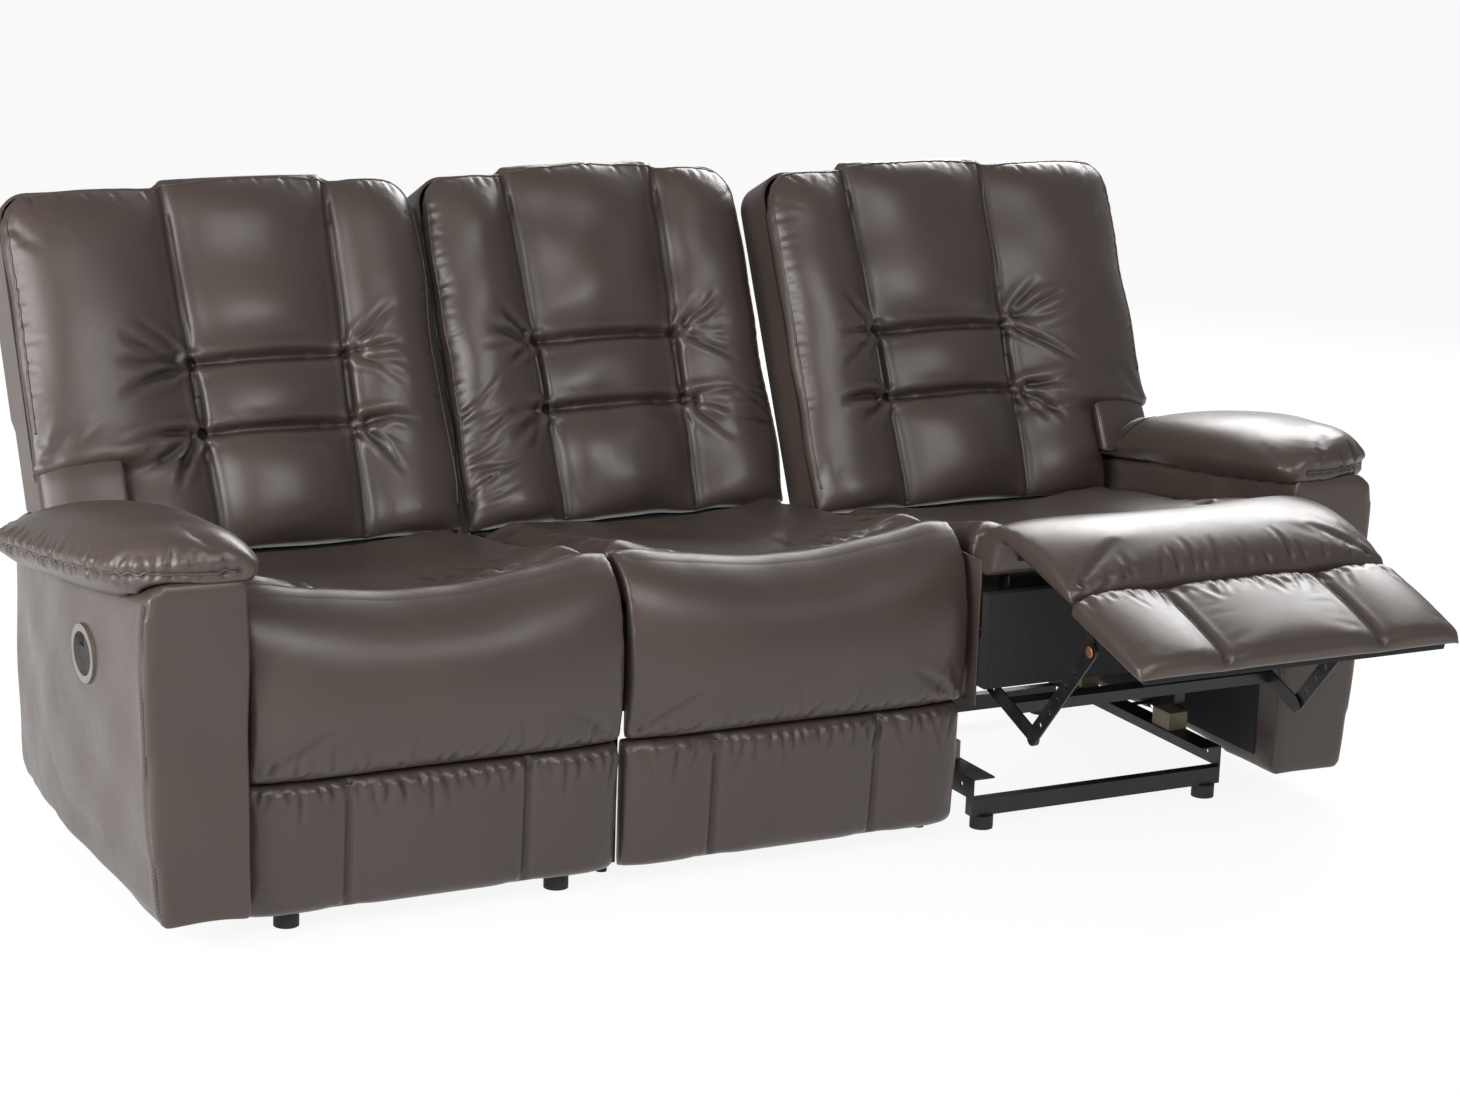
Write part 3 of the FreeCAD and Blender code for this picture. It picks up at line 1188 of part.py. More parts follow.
def arm_pillow(side):
    """Arm pillow: a long bolster that overhangs the arm and falls to the rear."""
    inner = size.arm_inner_x
    front, rear = size.arm_front_y, size.arm_rear_y
    top, fall = size.arm_front_z, size.arm_front_z - size.arm_rear_z
    wide, thick = size.pillow_width, size.pillow_height
    # Place along the arm, inner and outer edge as shares of the width, under and upper side of the height.
    stations = (
        (-0.004, -0.017, 0.258, -0.094, 0.321), (0.013, -0.067, 0.492, -0.151, 0.453),
        (0.054, -0.100, 0.692, -0.189, 0.613), (0.123, -0.113, 0.817, -0.208, 0.717),
        (0.244, -0.121, 0.875, -0.208, 0.793), (0.483, -0.083, 0.883, -0.189, 0.774),
        (0.740, -0.017, 0.850, -0.170, 0.538), (0.869, 0.008, 0.733, -0.151, 0.359),
        (0.992, 0.025, 0.467, -0.113, 0.283))
    wires = []
    for share, inmost, outmost, under, over in stations:
        level = top - fall * min(1, 1.18 * max(0, share))
        wires.append(pillow_section(side, front + share * (rear - front), inner + inmost * wide,
                                    inner + outmost * wide, level + under * thick, level + over * thick))
    return lofted(wires).cut(arm_body(side, 0))


def handle_bezel(side):
    """Bezel of the pull handle: a rim on the leather and a cup behind it."""
    face = arm_face_x(side)
    length, height = size.bezel_half_length, size.bezel_half_height
    rim_in = size.bezel_rim
    wall = size.bezel_wall
    flange = ellipse_prism(side, length, height, face - 4, face + 3)
    cup = ellipse_prism(side, length - rim_in, height - rim_in, face - size.bezel_depth, face)
    hollow = ellipse_prism(side, length - rim_in - wall, height - rim_in - wall,
                           face - size.bezel_depth + wall, face + 4)
    return flange.fuse(cup).cut(hollow)


def handle_lever(side):
    """Pull lever: a D-shaped paddle with a finger tab to the rear and a hinge barrel as its front edge."""
    face = arm_face_x(side)
    cup_length = size.bezel_half_length - size.bezel_rim - size.bezel_wall
    cup_height = size.bezel_half_height - size.bezel_rim - size.bezel_wall
    length, height = cup_length - 1, cup_height - 2
    outer = face - 1
    inner = outer - size.lever_thickness
    low_x = side * (inner if side > 0 else outer)
    hinge_y = size.bezel_y - 0.8 * length
    tab_y = size.bezel_y + 2
    paddle = ellipse_prism(side, length, height, inner, outer)
    keep = Part.makeBox(size.lever_thickness, tab_y - hinge_y, 2 * height,
                        Vector(low_x, hinge_y, size.bezel_z - height))
    tab = Part.makeBox(size.lever_thickness, 0.75 * length, 0.56 * height,
                       Vector(low_x, size.bezel_y, size.bezel_z - 0.28 * height))
    nose = 0.8 * length + size.lever_thickness / 2
    reach = cup_height * math.sqrt(1 - (nose / cup_length) ** 2) - size.pin_slack
    barrel = Part.makeCylinder(size.lever_thickness / 2, 2 * reach,
                               Vector(side * (inner + outer) / 2, hinge_y, size.bezel_z - reach))
    return paddle.common(keep).fuse([tab, barrel]).removeSplitter()


def footprint_middle():
    """Y of the middle between the open footrest's tip and the rear of the backs."""
    turned = lower_panel_shape()
    turned.rotate(Vector(0, size.hinge_y, size.hinge_z), Vector(1, 0, 0), -size.footrest_angle)
    tip = turned.BoundBox.YMin - size.wall_slide
    corner = back_plane().multVec(Vector(0, size.back_height, -size.pad_base - size.back_depth))
    return (tip + corner.y) / 2


front_datum = -footprint_middle()
size.add("front_datum", front_datum, "closed lower panel, from the middle of the footprint")


def build_seat(unit):
    """What every seat has: its box, springs, cushions and back."""
    seat = unit.seat()
    name = unit.name
    sub_part(name + "_seat_box", seat_box(unit), seat)
    sub_part(name + "_seat_springs", seat_springs(unit), seat)
    sub_part(name + "_seat_cushion", [shaped(name + "_seat_pad", seat_cushion_shape())], seat)
    footrest = unit.turned_about("hinge")
    sub_part(name + "_chaise_pad", [shaped(name + "_chaise", chaise_pad_shape())], footrest)
    sub_part(name + "_lower_panel", [shaped(name + "_panel", lower_panel_shape())], footrest)
    sub_part(name + "_back_frame", back_frame(unit), seat)
    sub_part(name + "_back_cushion", back_cushion(unit), seat)
    sub_part(name + "_back_panel", [back_panel(unit)], seat)
    sub_part(name + "_back_brackets", back_brackets(unit), seat)


def build_recliner(unit):
    """What only a recliner has: side plates, linkage, footrest boards, glides and back brackets."""
    seat = unit.seat()
    name = unit.name
    sub_part(name + "_side_plates", side_plates(unit), seat)
    sub_part(name + "_pivot_pins", pivot_pins(unit), seat)
    sub_part(name + "_glides", glides(unit), seat)
    sub_part(name + "_footrest_boards", footrest_boards(unit), unit.turned_about("hinge"))
    sub_part(name + "_footrest_brackets", footrest_brackets(unit), unit.turned_about("hinge"))
    sub_part(name + "_drive_links", drive_links(unit), unit.turned_about("drive_pivot"))
    sub_part(name + "_torque_tube", torque_tube(unit), unit.turned_about("drive_pivot"))
    sub_part(name + "_front_links", front_links(unit), unit.carried())


def build_arm(unit):
    """An arm with its pillow, frame, pull handle and release cable."""
    place = Placement(Vector(0, front_datum, 0), Rotation())
    name = unit.name
    sub_part(name + "_arm_cover", [shaped(name + "_arm_shell", arm_cover(unit.side))], place)
    sub_part(name + "_arm_frame", arm_frame(unit.side, name + "_arm_boards"), place)
    sub_part(name + "_arm_pillow", [shaped(name + "_arm_cushion", arm_pillow(unit.side))], place)
    sub_part(name + "_handle_bezel", [shaped(name + "_bezel", handle_bezel(unit.side))], place)
    sub_part(name + "_handle_lever", [shaped(name + "_lever", handle_lever(unit.side))], place)
    sub_part(name + "_release_cable", [shaped(name + "_cable", release_cable(unit.side))], place)


def grouped(name, maker, units):
    """One sub-part made of like pieces under several seats."""
    groups = []
    for unit in units:
        group = doc.addObject("Part::Compound", f"{unit.name}_{name}_group")
        group.Links = maker(unit)
        group.Placement = unit.fixed()
        groups.append(group)
    sub_part(name, groups, Placement())


for unit in (LEFT, CENTRE, RIGHT):
    build_seat(unit)
for unit in (LEFT, RIGHT):
    build_recliner(unit)
    build_arm(unit)
grouped("base_cross_rails", cross_rails, (LEFT, RIGHT))
grouped("base_side_rails", side_rail, (LEFT, RIGHT))
grouped("connector_bars", connector_bars, (LEFT, RIGHT))
grouped("feet", feet, (LEFT, CENTRE, RIGHT))

doc.recompute()


def check_and_export():
    """Stop on any failed object or bad shape, then write one STEP file for each sub-part."""
    for item in doc.Objects:
        if {"Invalid", "Error"} & set(item.State):
            raise RuntimeError(f"{item.Name} failed: {item.State}")
    for name, item in nodes.items():
        if item.Shape.isNull() or not item.Shape.isValid():
            raise RuntimeError(f"{name} has no valid shape")
    os.makedirs("parts", exist_ok=True)
    for name, item in nodes.items():
        item.Shape.exportStep(f"parts/{name}.step")
    whole = Part.makeCompound([item.Shape for item in nodes.values()])
    extent = whole.BoundBox
    print(f"{len(nodes)} sub-parts, box {extent.XMin:.1f}..{extent.XMax:.1f}, "
          f"{extent.YMin:.1f}..{extent.YMax:.1f}, {extent.ZMin:.1f}..{extent.ZMax:.1f}")


check_and_export()
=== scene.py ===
"""Looks of a three-seat reclining sofa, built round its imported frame.

Every upholstered piece is worked in the frame of the thing that carries it: a seat, a
footrest or a back.  A seat's own frame has X across the seat from its centre line, Y to
the rear from the closed lower panel and Z up from the floor.  A back's own frame has X
across, Y up along the lean and Z towards the sitter.  Lengths are metres.
"""

import json
import logging
import math
import random
from dataclasses import dataclass, replace
from enum import Enum
from typing import Any, Callable, Iterable, Optional, Sequence, Union

import bpy
import numpy as np
from mathutils import Matrix, Vector
from mathutils.bvhtree import BVHTree

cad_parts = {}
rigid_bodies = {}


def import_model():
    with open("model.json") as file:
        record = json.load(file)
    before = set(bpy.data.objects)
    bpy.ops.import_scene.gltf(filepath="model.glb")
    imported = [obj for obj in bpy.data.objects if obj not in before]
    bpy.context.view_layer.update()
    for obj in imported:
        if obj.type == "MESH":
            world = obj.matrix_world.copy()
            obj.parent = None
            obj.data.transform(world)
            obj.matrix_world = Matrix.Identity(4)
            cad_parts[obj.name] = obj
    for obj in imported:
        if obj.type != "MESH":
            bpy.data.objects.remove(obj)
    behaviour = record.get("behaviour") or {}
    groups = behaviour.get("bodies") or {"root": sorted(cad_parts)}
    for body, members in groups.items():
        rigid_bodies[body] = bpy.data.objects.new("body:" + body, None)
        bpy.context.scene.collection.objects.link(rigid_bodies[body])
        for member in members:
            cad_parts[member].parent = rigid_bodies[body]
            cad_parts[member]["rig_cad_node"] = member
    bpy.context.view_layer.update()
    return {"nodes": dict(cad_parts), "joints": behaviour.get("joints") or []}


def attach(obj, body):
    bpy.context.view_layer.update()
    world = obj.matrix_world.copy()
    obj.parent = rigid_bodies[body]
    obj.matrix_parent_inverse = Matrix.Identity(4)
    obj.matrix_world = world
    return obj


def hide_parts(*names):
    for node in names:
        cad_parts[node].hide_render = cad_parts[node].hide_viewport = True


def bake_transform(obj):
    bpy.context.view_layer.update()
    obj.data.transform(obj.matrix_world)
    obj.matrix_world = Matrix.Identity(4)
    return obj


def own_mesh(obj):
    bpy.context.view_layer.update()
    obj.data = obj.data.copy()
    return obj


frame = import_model()
log = logging.getLogger("sofa")

MM = 0.001
TINY = 1e-9
Points = np.ndarray
Pair = tuple[float, float]


class Part(Enum):
    """What carries a piece of upholstery."""

    SEAT = "seat"
    FOOTREST = "footrest"
    BACK = "back"


def pivot(joint_name: str) -> Sequence[float]:
    """Where a hinge turns, in the sofa's frame."""
    return next(joint["pos_m"] for joint in frame["joints"] if joint["name"] == joint_name)


@dataclass(frozen=True)
class Unit:
    """One of the three seats: its side of the sofa and how far its footrest is open."""

    name: str
    side: int
    opened: bool

    hinge: Pair = (60 * MM, 475 * MM)
    back_foot: Pair = (603 * MM, 430 * MM)
    lean: float = math.radians(24.7)
    swing: float = math.radians(75)

    def origin(self) -> Vector:
        """Where the seat's own frame stands."""
        place = pivot((self.name if self.side else "left") + "_footrest_open")
        return Vector((place[0] if self.side else 0, place[1] - self.hinge[0], 0))

    def frame_of(self, part: Part) -> Matrix:
        """From the frame of a seat, a footrest or a back to the sofa's frame."""
        seat = Matrix.Translation(self.origin())
        if part is Part.FOOTREST and self.opened:
            eye = Vector((0, *self.hinge))
            turn = Matrix.Rotation(-self.swing, 4, "X")
            return seat @ Matrix.Translation(eye) @ turn @ Matrix.Translation(-eye)
        if part is Part.BACK:
            upright = Matrix.Rotation(math.pi / 2 - self.lean, 4, "X")
            return seat @ Matrix.Translation(Vector((0, *self.back_foot))) @ upright
        return seat

    def body(self, part: Part) -> str:
        """The body that carries that part of the seat."""
        return f"{self.name}_{part.value}" if self.side else "base"


LEFT = Unit("left", -1, False)
CENTRE = Unit("centre", 0, False)
RIGHT = Unit("right", 1, True)
UNITS = (LEFT, CENTRE, RIGHT)


# Finishes

class Wire:
    """A node's output; arithmetic on it adds Math nodes."""

    def __init__(self, board: "Board", socket: bpy.types.NodeSocket) -> None:
        """Hold an output socket and the board it belongs to."""
        self.board = board
        self.socket = socket

    def _math(self, operation: str, first: Any, second: Any) -> "Wire":
        """A Math node on two values."""
        return self.board.add("ShaderNodeMath", {"operation": operation}, {0: first, 1: second})

    def __add__(self, other: Any) -> "Wire":
        """Sum."""
        return self._math("ADD", self, other)

    def __radd__(self, other: Any) -> "Wire":
        """Sum with the wire second."""
        return self._math("ADD", other, self)

    def __sub__(self, other: Any) -> "Wire":
        """Difference."""
        return self._math("SUBTRACT", self, other)

    def __rsub__(self, other: Any) -> "Wire":
        """Difference with the wire second."""
        return self._math("SUBTRACT", other, self)

    def __mul__(self, other: Any) -> "Wire":
        """Product."""
        return self._math("MULTIPLY", self, other)

    def between(self, low: float, high: float) -> "Wire":
        """Zero below low, one above high and straight in between."""
        return self.board.add("ShaderNodeMapRange", {"clamp": True},
                              {"Value": self, "From Min": low, "From Max": high})


class Board:
    """The node tree of one material."""

    def __init__(self, name: str) -> None:
        """Start an empty material.

        Args:
            name: The material's name.
        """
        self.material = bpy.data.materials.new(name)
        self.material.use_nodes = True
        self.tree = self.material.node_tree
        self.tree.nodes.clear()
        self.object_space = self.add("ShaderNodeTexCoord", {}, {}, "Object")

    def add(self, kind: str, settings: dict[str, Any], inputs: dict[Any, Any],
            output: Union[int, str] = 0) -> Wire:
        """Add a node.

        Args:
            kind: The node's type.
            settings: Properties that are set first; "stops" are a ramp's.
            inputs: Values or wires of its sockets, by name or place.
            output: The output to return.

        Returns:
            The chosen output.
        """
        node = self.tree.nodes.new(kind)
        for key, value in settings.items():
            if key == "stops":
                while len(node.color_ramp.elements) < len(value):
                    node.color_ramp.elements.new(0.5)
                for element, (place, colour) in zip(node.color_ramp.elements, value):
                    element.position = place
                    element.color = colour
            else:
                setattr(node, key, value)
        for key, value in inputs.items():
            if isinstance(value, Wire):
                self.tree.links.new(value.socket, node.inputs[key])
            else:
                node.inputs[key].default_value = value
        return Wire(self, node.outputs[output])

    def noise(self, scale: float, detail: float = 2.0, rough: float = 0.5) -> Wire:
        """Noise of a number of waves to the metre."""
        return self.add("ShaderNodeTexNoise", {}, {
            "Vector": self.object_space, "Scale": scale, "Detail": detail, "Roughness": rough})

    def cells(self, scale: float, feature: str = "F1") -> Wire:
        """Distance within Voronoi cells."""
        return self.add("ShaderNodeTexVoronoi", {"feature": feature},
                        {"Vector": self.object_space, "Scale": scale}, "Distance")

    def attribute(self, name: str) -> Wire:
        """A number stored on the mesh."""
        return self.add("ShaderNodeAttribute", {"attribute_name": name}, {}, "Fac")

    def blend(self, share: Any, first: Any, second: Any) -> Wire:
        """A colour between two."""
        return self.add("ShaderNodeMix", {"data_type": "RGBA"}, {0: share, 6: first, 7: second}, 2)

    def bump(self, height: Wire, strength: float, distance: float) -> Wire:
        """A normal bumped by a height."""
        return self.add("ShaderNodeBump", {}, {
            "Height": height, "Strength": strength, "Distance": distance}, "Normal")

    def finish(self, inputs: dict[str, Any]) -> bpy.types.Material:
        """Close the tree with a Principled shader.

        Args:
            inputs: The shader's sockets.

        Returns:
            The material.
        """
        shader = self.add("ShaderNodeBsdfPrincipled", {}, inputs, "BSDF")
        self.add_output(shader)
        return self.material

    def add_output(self, shader: Wire) -> None:
        """Link a shader to the material's output."""
        node = self.tree.nodes.new("ShaderNodeOutputMaterial")
        self.tree.links.new(shader.socket, node.inputs["Surface"])


def grey(value: float) -> tuple[float, float, float, float]:
    """A neutral colour."""
    return (value, value, value, 1.0)


@dataclass(frozen=True)
class Finish:
    """A surface finish: the material's name, the record's slot and its look."""

    name: str
    slot: str

    def make(self) -> bpy.types.Material:
        """The material; a subclass draws it."""
        raise NotImplementedError

    def material(self) -> bpy.types.Material:
        """The material, made once."""
        return bpy.data.materials.get(self.name) or self.make()

    def dress(self, piece: bpy.types.Object) -> None:
        """Give a piece this finish."""
        piece.data.materials.clear()
        piece.data.materials.append(self.material())
        "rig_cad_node" not in piece


@dataclass(frozen=True)
class Leather(Finish):
    """Brown coated leather: fine grain, worn lighter on its ridges, with painted shade darkening its
    creases.
    """

    base: tuple[float, float, float] = (0.060, 0.044, 0.037)
    gloss: float = 0.31

    def make(self) -> bpy.types.Material:
        """Draw the leather."""
        board = Board(self.name)
        ridge = board.attribute("ridge")
        cloud = board.noise(7.0, 3.0)
        fine = board.noise(60.0, 4.0, 0.6)
        pebble = board.cells(850.0)
        pores = board.noise(420.0, 3.0, 0.7)
        red, green, blue = self.base
        warm = (red * 1.05, green * 1.03, blue * 1.02, 1.0)
        cool = (red * 0.95, green * 0.96, blue * 0.96, 1.0)
        colour = board.blend(cloud.between(0.35, 0.65), cool, warm)
        # a darker brown: painted shade for the creases, and a fine random mottle
        crease_shade_and_mottle = (red * 0.42, green * 0.42, blue * 0.44, 1.0)
        light = (red * 1.35, green * 1.36, blue * 1.38, 1.0)
        # painted shade: the leather is darkened where the ridge value falls below zero, in the creases
        colour = board.blend((0.0 - ridge).between(0.02, 0.9), colour, crease_shade_and_mottle)
        colour = board.blend(ridge.between(0.05, 1.2) * 0.55, colour, light)
        colour = board.blend(fine.between(0.62, 0.9) * 0.25, colour, crease_shade_and_mottle)
        rough = self.gloss + cloud.between(0.3, 0.7) * 0.06
        rough = rough + fine.between(0.4, 0.8) * 0.05 - ridge * 0.03
        height = pebble * 0.5 + pores * 0.5 + fine * 0.35
        return board.finish({
            "Base Color": colour, "Roughness": rough, "Specular IOR Level": 0.5,
            "Normal": board.bump(height, 0.22, 0.7 * MM)})


@dataclass(frozen=True)
class DarkCloth(Finish):
    """Black non-woven cloth behind and under the upholstery, also laid on the back frame as painted shade.
    """

    def make(self) -> bpy.types.Material:
        """Draw the cloth."""
        board = Board(self.name)
        weave = board.cells(1400.0)
        lint = board.noise(300.0, 4.0)
        deep, pale = (0.010, 0.010, 0.011, 1), (0.022, 0.022, 0.024, 1)
        colour = board.blend(lint.between(0.35, 0.75), deep, pale)
        return board.finish({"Base Color": colour, "Roughness": 0.82 + lint * 0.1,
                             "Normal": board.bump(weave + lint, 0.3, 0.4 * MM)})


@dataclass(frozen=True)
class Painted(Finish):
    """Black paint on pressed steel, with rubbed edges and a little dust."""

    tone: float = 0.012
    rough: float = 0.32

    def make(self) -> bpy.types.Material:
        """Draw the paint."""
        board = Board(self.name)
        orange_peel = board.noise(900.0, 2.0)
        dust = board.noise(25.0, 4.0, 0.6)
        scuff = board.cells(90.0, "DISTANCE_TO_EDGE")
        colour = board.blend(dust.between(0.45, 0.8) * 0.5, grey(self.tone), grey(self.tone * 3.2))
        rough = self.rough + dust.between(0.4, 0.8) * 0.2
        return board.finish({"Base Color": colour, "Roughness": rough, "Metallic": 0.25,
                             "Normal": board.bump(orange_peel + scuff * 0.2, 0.08, 0.3 * MM)})


@dataclass(frozen=True)
class Bare(Finish):
    """Bare or plated metal with drawn or turned marks."""

    colour: tuple[float, float, float] = (0.42, 0.41, 0.40)
    rough: float = 0.34

    def make(self) -> bpy.types.Material:
        """Draw the metal."""
        board = Board(self.name)
        marks = board.noise(1200.0, 2.0)
        stain = board.noise(30.0, 4.0, 0.65)
        deep = tuple(part * 0.55 for part in self.colour) + (1.0,)
        colour = board.blend(stain.between(0.45, 0.75), (*self.colour, 1.0), deep)
        return board.finish({"Base Color": colour, "Metallic": 0.9,
                             "Roughness": self.rough + stain.between(0.4, 0.8) * 0.22,
                             "Normal": board.bump(marks, 0.12, 0.2 * MM)})


@dataclass(frozen=True)
class Moulded(Finish):
    """Moulded plastic with a fine spark-eroded grain."""

    colour: tuple[float, float, float] = (0.012, 0.012, 0.013)
    rough: float = 0.42

    def make(self) -> bpy.types.Material:
        """Draw the plastic."""
        board = Board(self.name)
        grain = board.noise(1500.0, 2.0)
        haze = board.noise(40.0, 3.0)
        pale = tuple(min(1.0, part * 1.35 + 0.003) for part in self.colour) + (1.0,)
        colour = board.blend(haze.between(0.4, 0.75) * 0.6, (*self.colour, 1.0), pale)
        return board.finish({"Base Color": colour, "Roughness": self.rough + haze * 0.08,
                             "Normal": board.bump(grain, 0.12, 0.15 * MM)})


@dataclass(frozen=True)
class Timber(Finish):
    """Raw plywood and softwood boards."""

    def make(self) -> bpy.types.Material:
        """Draw the wood."""
        board = Board(self.name)
        stretch = board.add("ShaderNodeMapping", {}, {
            "Vector": board.object_space, "Scale": (1.0, 9.0, 30.0)})
        rings = board.add("ShaderNodeTexNoise", {}, {
            "Vector": stretch, "Scale": 5.0, "Detail": 5.0, "Roughness": 0.6})
        pale, brown = (0.50, 0.36, 0.21, 1.0), (0.30, 0.19, 0.10, 1.0)
        colour = board.blend(rings.between(0.38, 0.68), pale, brown)
        return board.finish({"Base Color": colour, "Roughness": 0.62 + rings * 0.15,
                             "Normal": board.bump(rings, 0.2, 0.4 * MM)})


@dataclass(frozen=True)
class Thread(Finish):
    """Bonded nylon thread, a little darker than the leather."""

    def make(self) -> bpy.types.Material:
        """Draw the thread."""
        board = Board(self.name)
        twist = board.noise(2500.0, 1.0)
        deep, pale = (0.035, 0.026, 0.022, 1), (0.085, 0.067, 0.058, 1)
        colour = board.blend(twist.between(0.35, 0.7), deep, pale)
        return board.finish({"Base Color": colour, "Roughness": 0.5 + twist * 0.1,
                             "Normal": board.bump(twist, 0.3, 0.1 * MM)})


LEATHER = Leather("brown_leather", "leather")
BLACK_CLOTH_AND_SHADE = DarkCloth("black_dust_cloth", "black_steel")
SEWING = Thread("brown_thread", "leather")
STEEL = Painted("black_painted_steel", "black_steel")
SPRING = Bare("drawn_spring_wire", "spring_steel", (0.20, 0.20, 0.21), 0.38)
PLATED = Bare("plated_pin", "pin_steel", (0.50, 0.44, 0.34), 0.30)
COPPER = Bare("copper_bush", "pin_steel", (0.62, 0.27, 0.13), 0.33)
NYLON = Moulded("natural_nylon", "nylon", (0.36, 0.31, 0.19), 0.45)
BLACK_PLASTIC = Moulded("black_plastic", "black_plastic")
BEZEL_PLASTIC = Moulded("bronze_plastic", "black_plastic", (0.13, 0.115, 0.10), 0.28)
SLEEVE = Moulded("cable_sleeve", "cable_sleeve", (0.014, 0.014, 0.015), 0.55)
PLYWOOD = Timber("raw_plywood", "timber")


# Mesh work

def select_only(*pieces: bpy.types.Object) -> None:
    """Select these pieces alone and make the last one active."""
    bpy.ops.object.select_all(action="DESELECT")
    for piece in pieces:
        piece.select_set(True)
    bpy.context.view_layer.objects.active = pieces[-1]


def apply_modifier(piece: bpy.types.Object, kind: str, **settings: Any) -> None:
    """Add a modifier, set it up and apply it."""
    select_only(piece)
    modifier = piece.modifiers.new(kind.lower(), kind)
    for key, value in settings.items():
        setattr(modifier, key, value)
    bpy.ops.object.modifier_apply(modifier=modifier.name)


def points_of(piece: bpy.types.Object) -> Points:
    """The piece's points as rows."""
    flat = np.zeros(len(piece.data.vertices) * 3)
    piece.data.vertices.foreach_get("co", flat)
    return flat.reshape(-1, 3)


def set_points(piece: bpy.types.Object, points: Points) -> None:
    """Put the piece's points in their new places."""
    piece.data.vertices.foreach_set("co", points.ravel())
    piece.data.update()


def normals_of(piece: bpy.types.Object) -> Points:
    """The piece's point normals as rows."""
    flat = np.zeros(len(piece.data.vertices) * 3)
    piece.data.vertex_normals.foreach_get("vector", flat)
    return flat.reshape(-1, 3)


def smoothstep(values: Points, low: float, high: float) -> Points:
    """Zero below low, one above high, smooth in between; low may be the larger."""
    share = np.clip((values - low) / (high - low), 0, 1)
    return share * share * (3 - 2 * share)


def solid_copy(node: str, name: str, place: Matrix, voxel: float) -> bpy.types.Object:
    """A remeshed copy of a CAD solid in the frame of what carries it.

    Args:
        node: The CAD node.
        name: The new piece's name.
        place: From that frame to the sofa's.
        voxel: The size of the remesh.

    Returns:
        The new piece.
    """
    piece = bpy.data.objects.new(name, frame["nodes"][node].data.copy())
    bpy.context.scene.collection.objects.link(piece)
    piece.data.materials.clear()
    piece.data.transform(place.inverted())
    select_only(piece)
    bpy.ops.object.mode_set(mode="EDIT")
    bpy.ops.mesh.select_all(action="SELECT")
    bpy.ops.mesh.remove_doubles(threshold=1e-5)
    bpy.ops.object.mode_set(mode="OBJECT")
    apply_modifier(piece, "REMESH", mode="VOXEL", voxel_size=voxel)
    return piece


def copy_of(piece: bpy.types.Object, name: str, mirror: bool) -> bpy.types.Object:
    """A copy with its own mesh, mirrored across X if asked."""
    other = bpy.data.objects.new(name, piece.data.copy())
    bpy.context.scene.collection.objects.link(other)
    if mirror:
        other.data.transform(Matrix.Diagonal((-1, 1, 1, 1)))
        other.data.flip_normals()
    return other


@dataclass(frozen=True)
class Stuffing:
    """A cushion's filling: cloth under pressure, held where it is sewn or rests."""

    swell: float
    pressure: float = 4.0
    mass: float = 0.25
    stiffness: float = 12
    bending: float = 0.4
    quality: int = 4
    steps: int = 20
    least_hold: float = 0.01

    def fill(self, piece: bpy.types.Object, held: Callable[[Points], Points]) -> None:
        """Fill a closed cushion.

        Args:
            piece: The cushion.
            held: From points to how firmly each is held, 0 to 1.
        """
        before = points_of(piece)
        group = piece.vertex_groups.new(name="held")
        for index, weight in enumerate(held(before)):
            if weight > self.least_hold:
                group.add([index], float(weight), "REPLACE")
        select_only(piece)
        modifier = piece.modifiers.new("stuffing", "CLOTH")
        settings = modifier.settings
        settings.quality = self.quality
        settings.mass = self.mass
        settings.use_pressure = True
        settings.uniform_pressure_force = self.pressure
        settings.effector_weights.gravity = 0
        settings.tension_stiffness = settings.compression_stiffness = self.stiffness
        settings.bending_stiffness = self.bending
        settings.vertex_group_mass = group.name
        scene = bpy.context.scene
        for step in range(1, self.steps + 1):
            scene.frame_set(step)
        bpy.ops.object.modifier_apply(modifier=modifier.name)
        scene.frame_set(1)
        moved = points_of(piece) - before
        reach = np.linalg.norm(moved, axis=1, keepdims=True)
        moved *= np.minimum(1.0, self.swell / np.maximum(reach, TINY))
        set_points(piece, before + moved)
        piece.vertex_groups.clear()


def relax(piece: bpy.types.Object, rounds: int) -> None:
    """Smooth a mesh a little."""
    apply_modifier(piece, "SMOOTH", factor=0.5, iterations=rounds)


def split(piece: bpy.types.Object) -> None:
    """Split each face in four and round the mesh."""
    apply_modifier(piece, "SUBSURF", levels=1, render_levels=1)


class Skin:
    """The surface of a piece, to lay paths on."""

    def __init__(self, piece: bpy.types.Object) -> None:
        """Index the piece's faces."""
        mesh = piece.data
        corners = [tuple(point) for point in points_of(piece)]
        self.tree = BVHTree.FromPolygons(corners, [tuple(face.vertices) for face in mesh.polygons])

    def lay(self, points: Iterable[Sequence[float]],
            along: Optional[Vector] = None) -> tuple[Points, Points]:
        """Lay points on the surface.

        Args:
            points: Points near it, or above it if a direction is given.
            along: The direction in which they drop; the nearest place if None.

        Returns:
            The places and the surface's normals there.
        """
        places, normals = [], []
        for point in points:
            place = normal = None
            if along is not None:
                place, normal, _, _ = self.tree.ray_cast(Vector(point), along)
            if place is None:
                place, normal, _, _ = self.tree.find_nearest(Vector(point))
            places.append(tuple(place))
            normals.append(tuple(normal))
        return np.array(places), np.array(normals)

    def hit(self, start: Sequence[float], along: Sequence[float],
            reach: float = 10.0) -> Optional[Vector]:
        """Where a ray first meets the surface, if it does."""
        return self.tree.ray_cast(Vector(start), Vector(along), reach)[0]


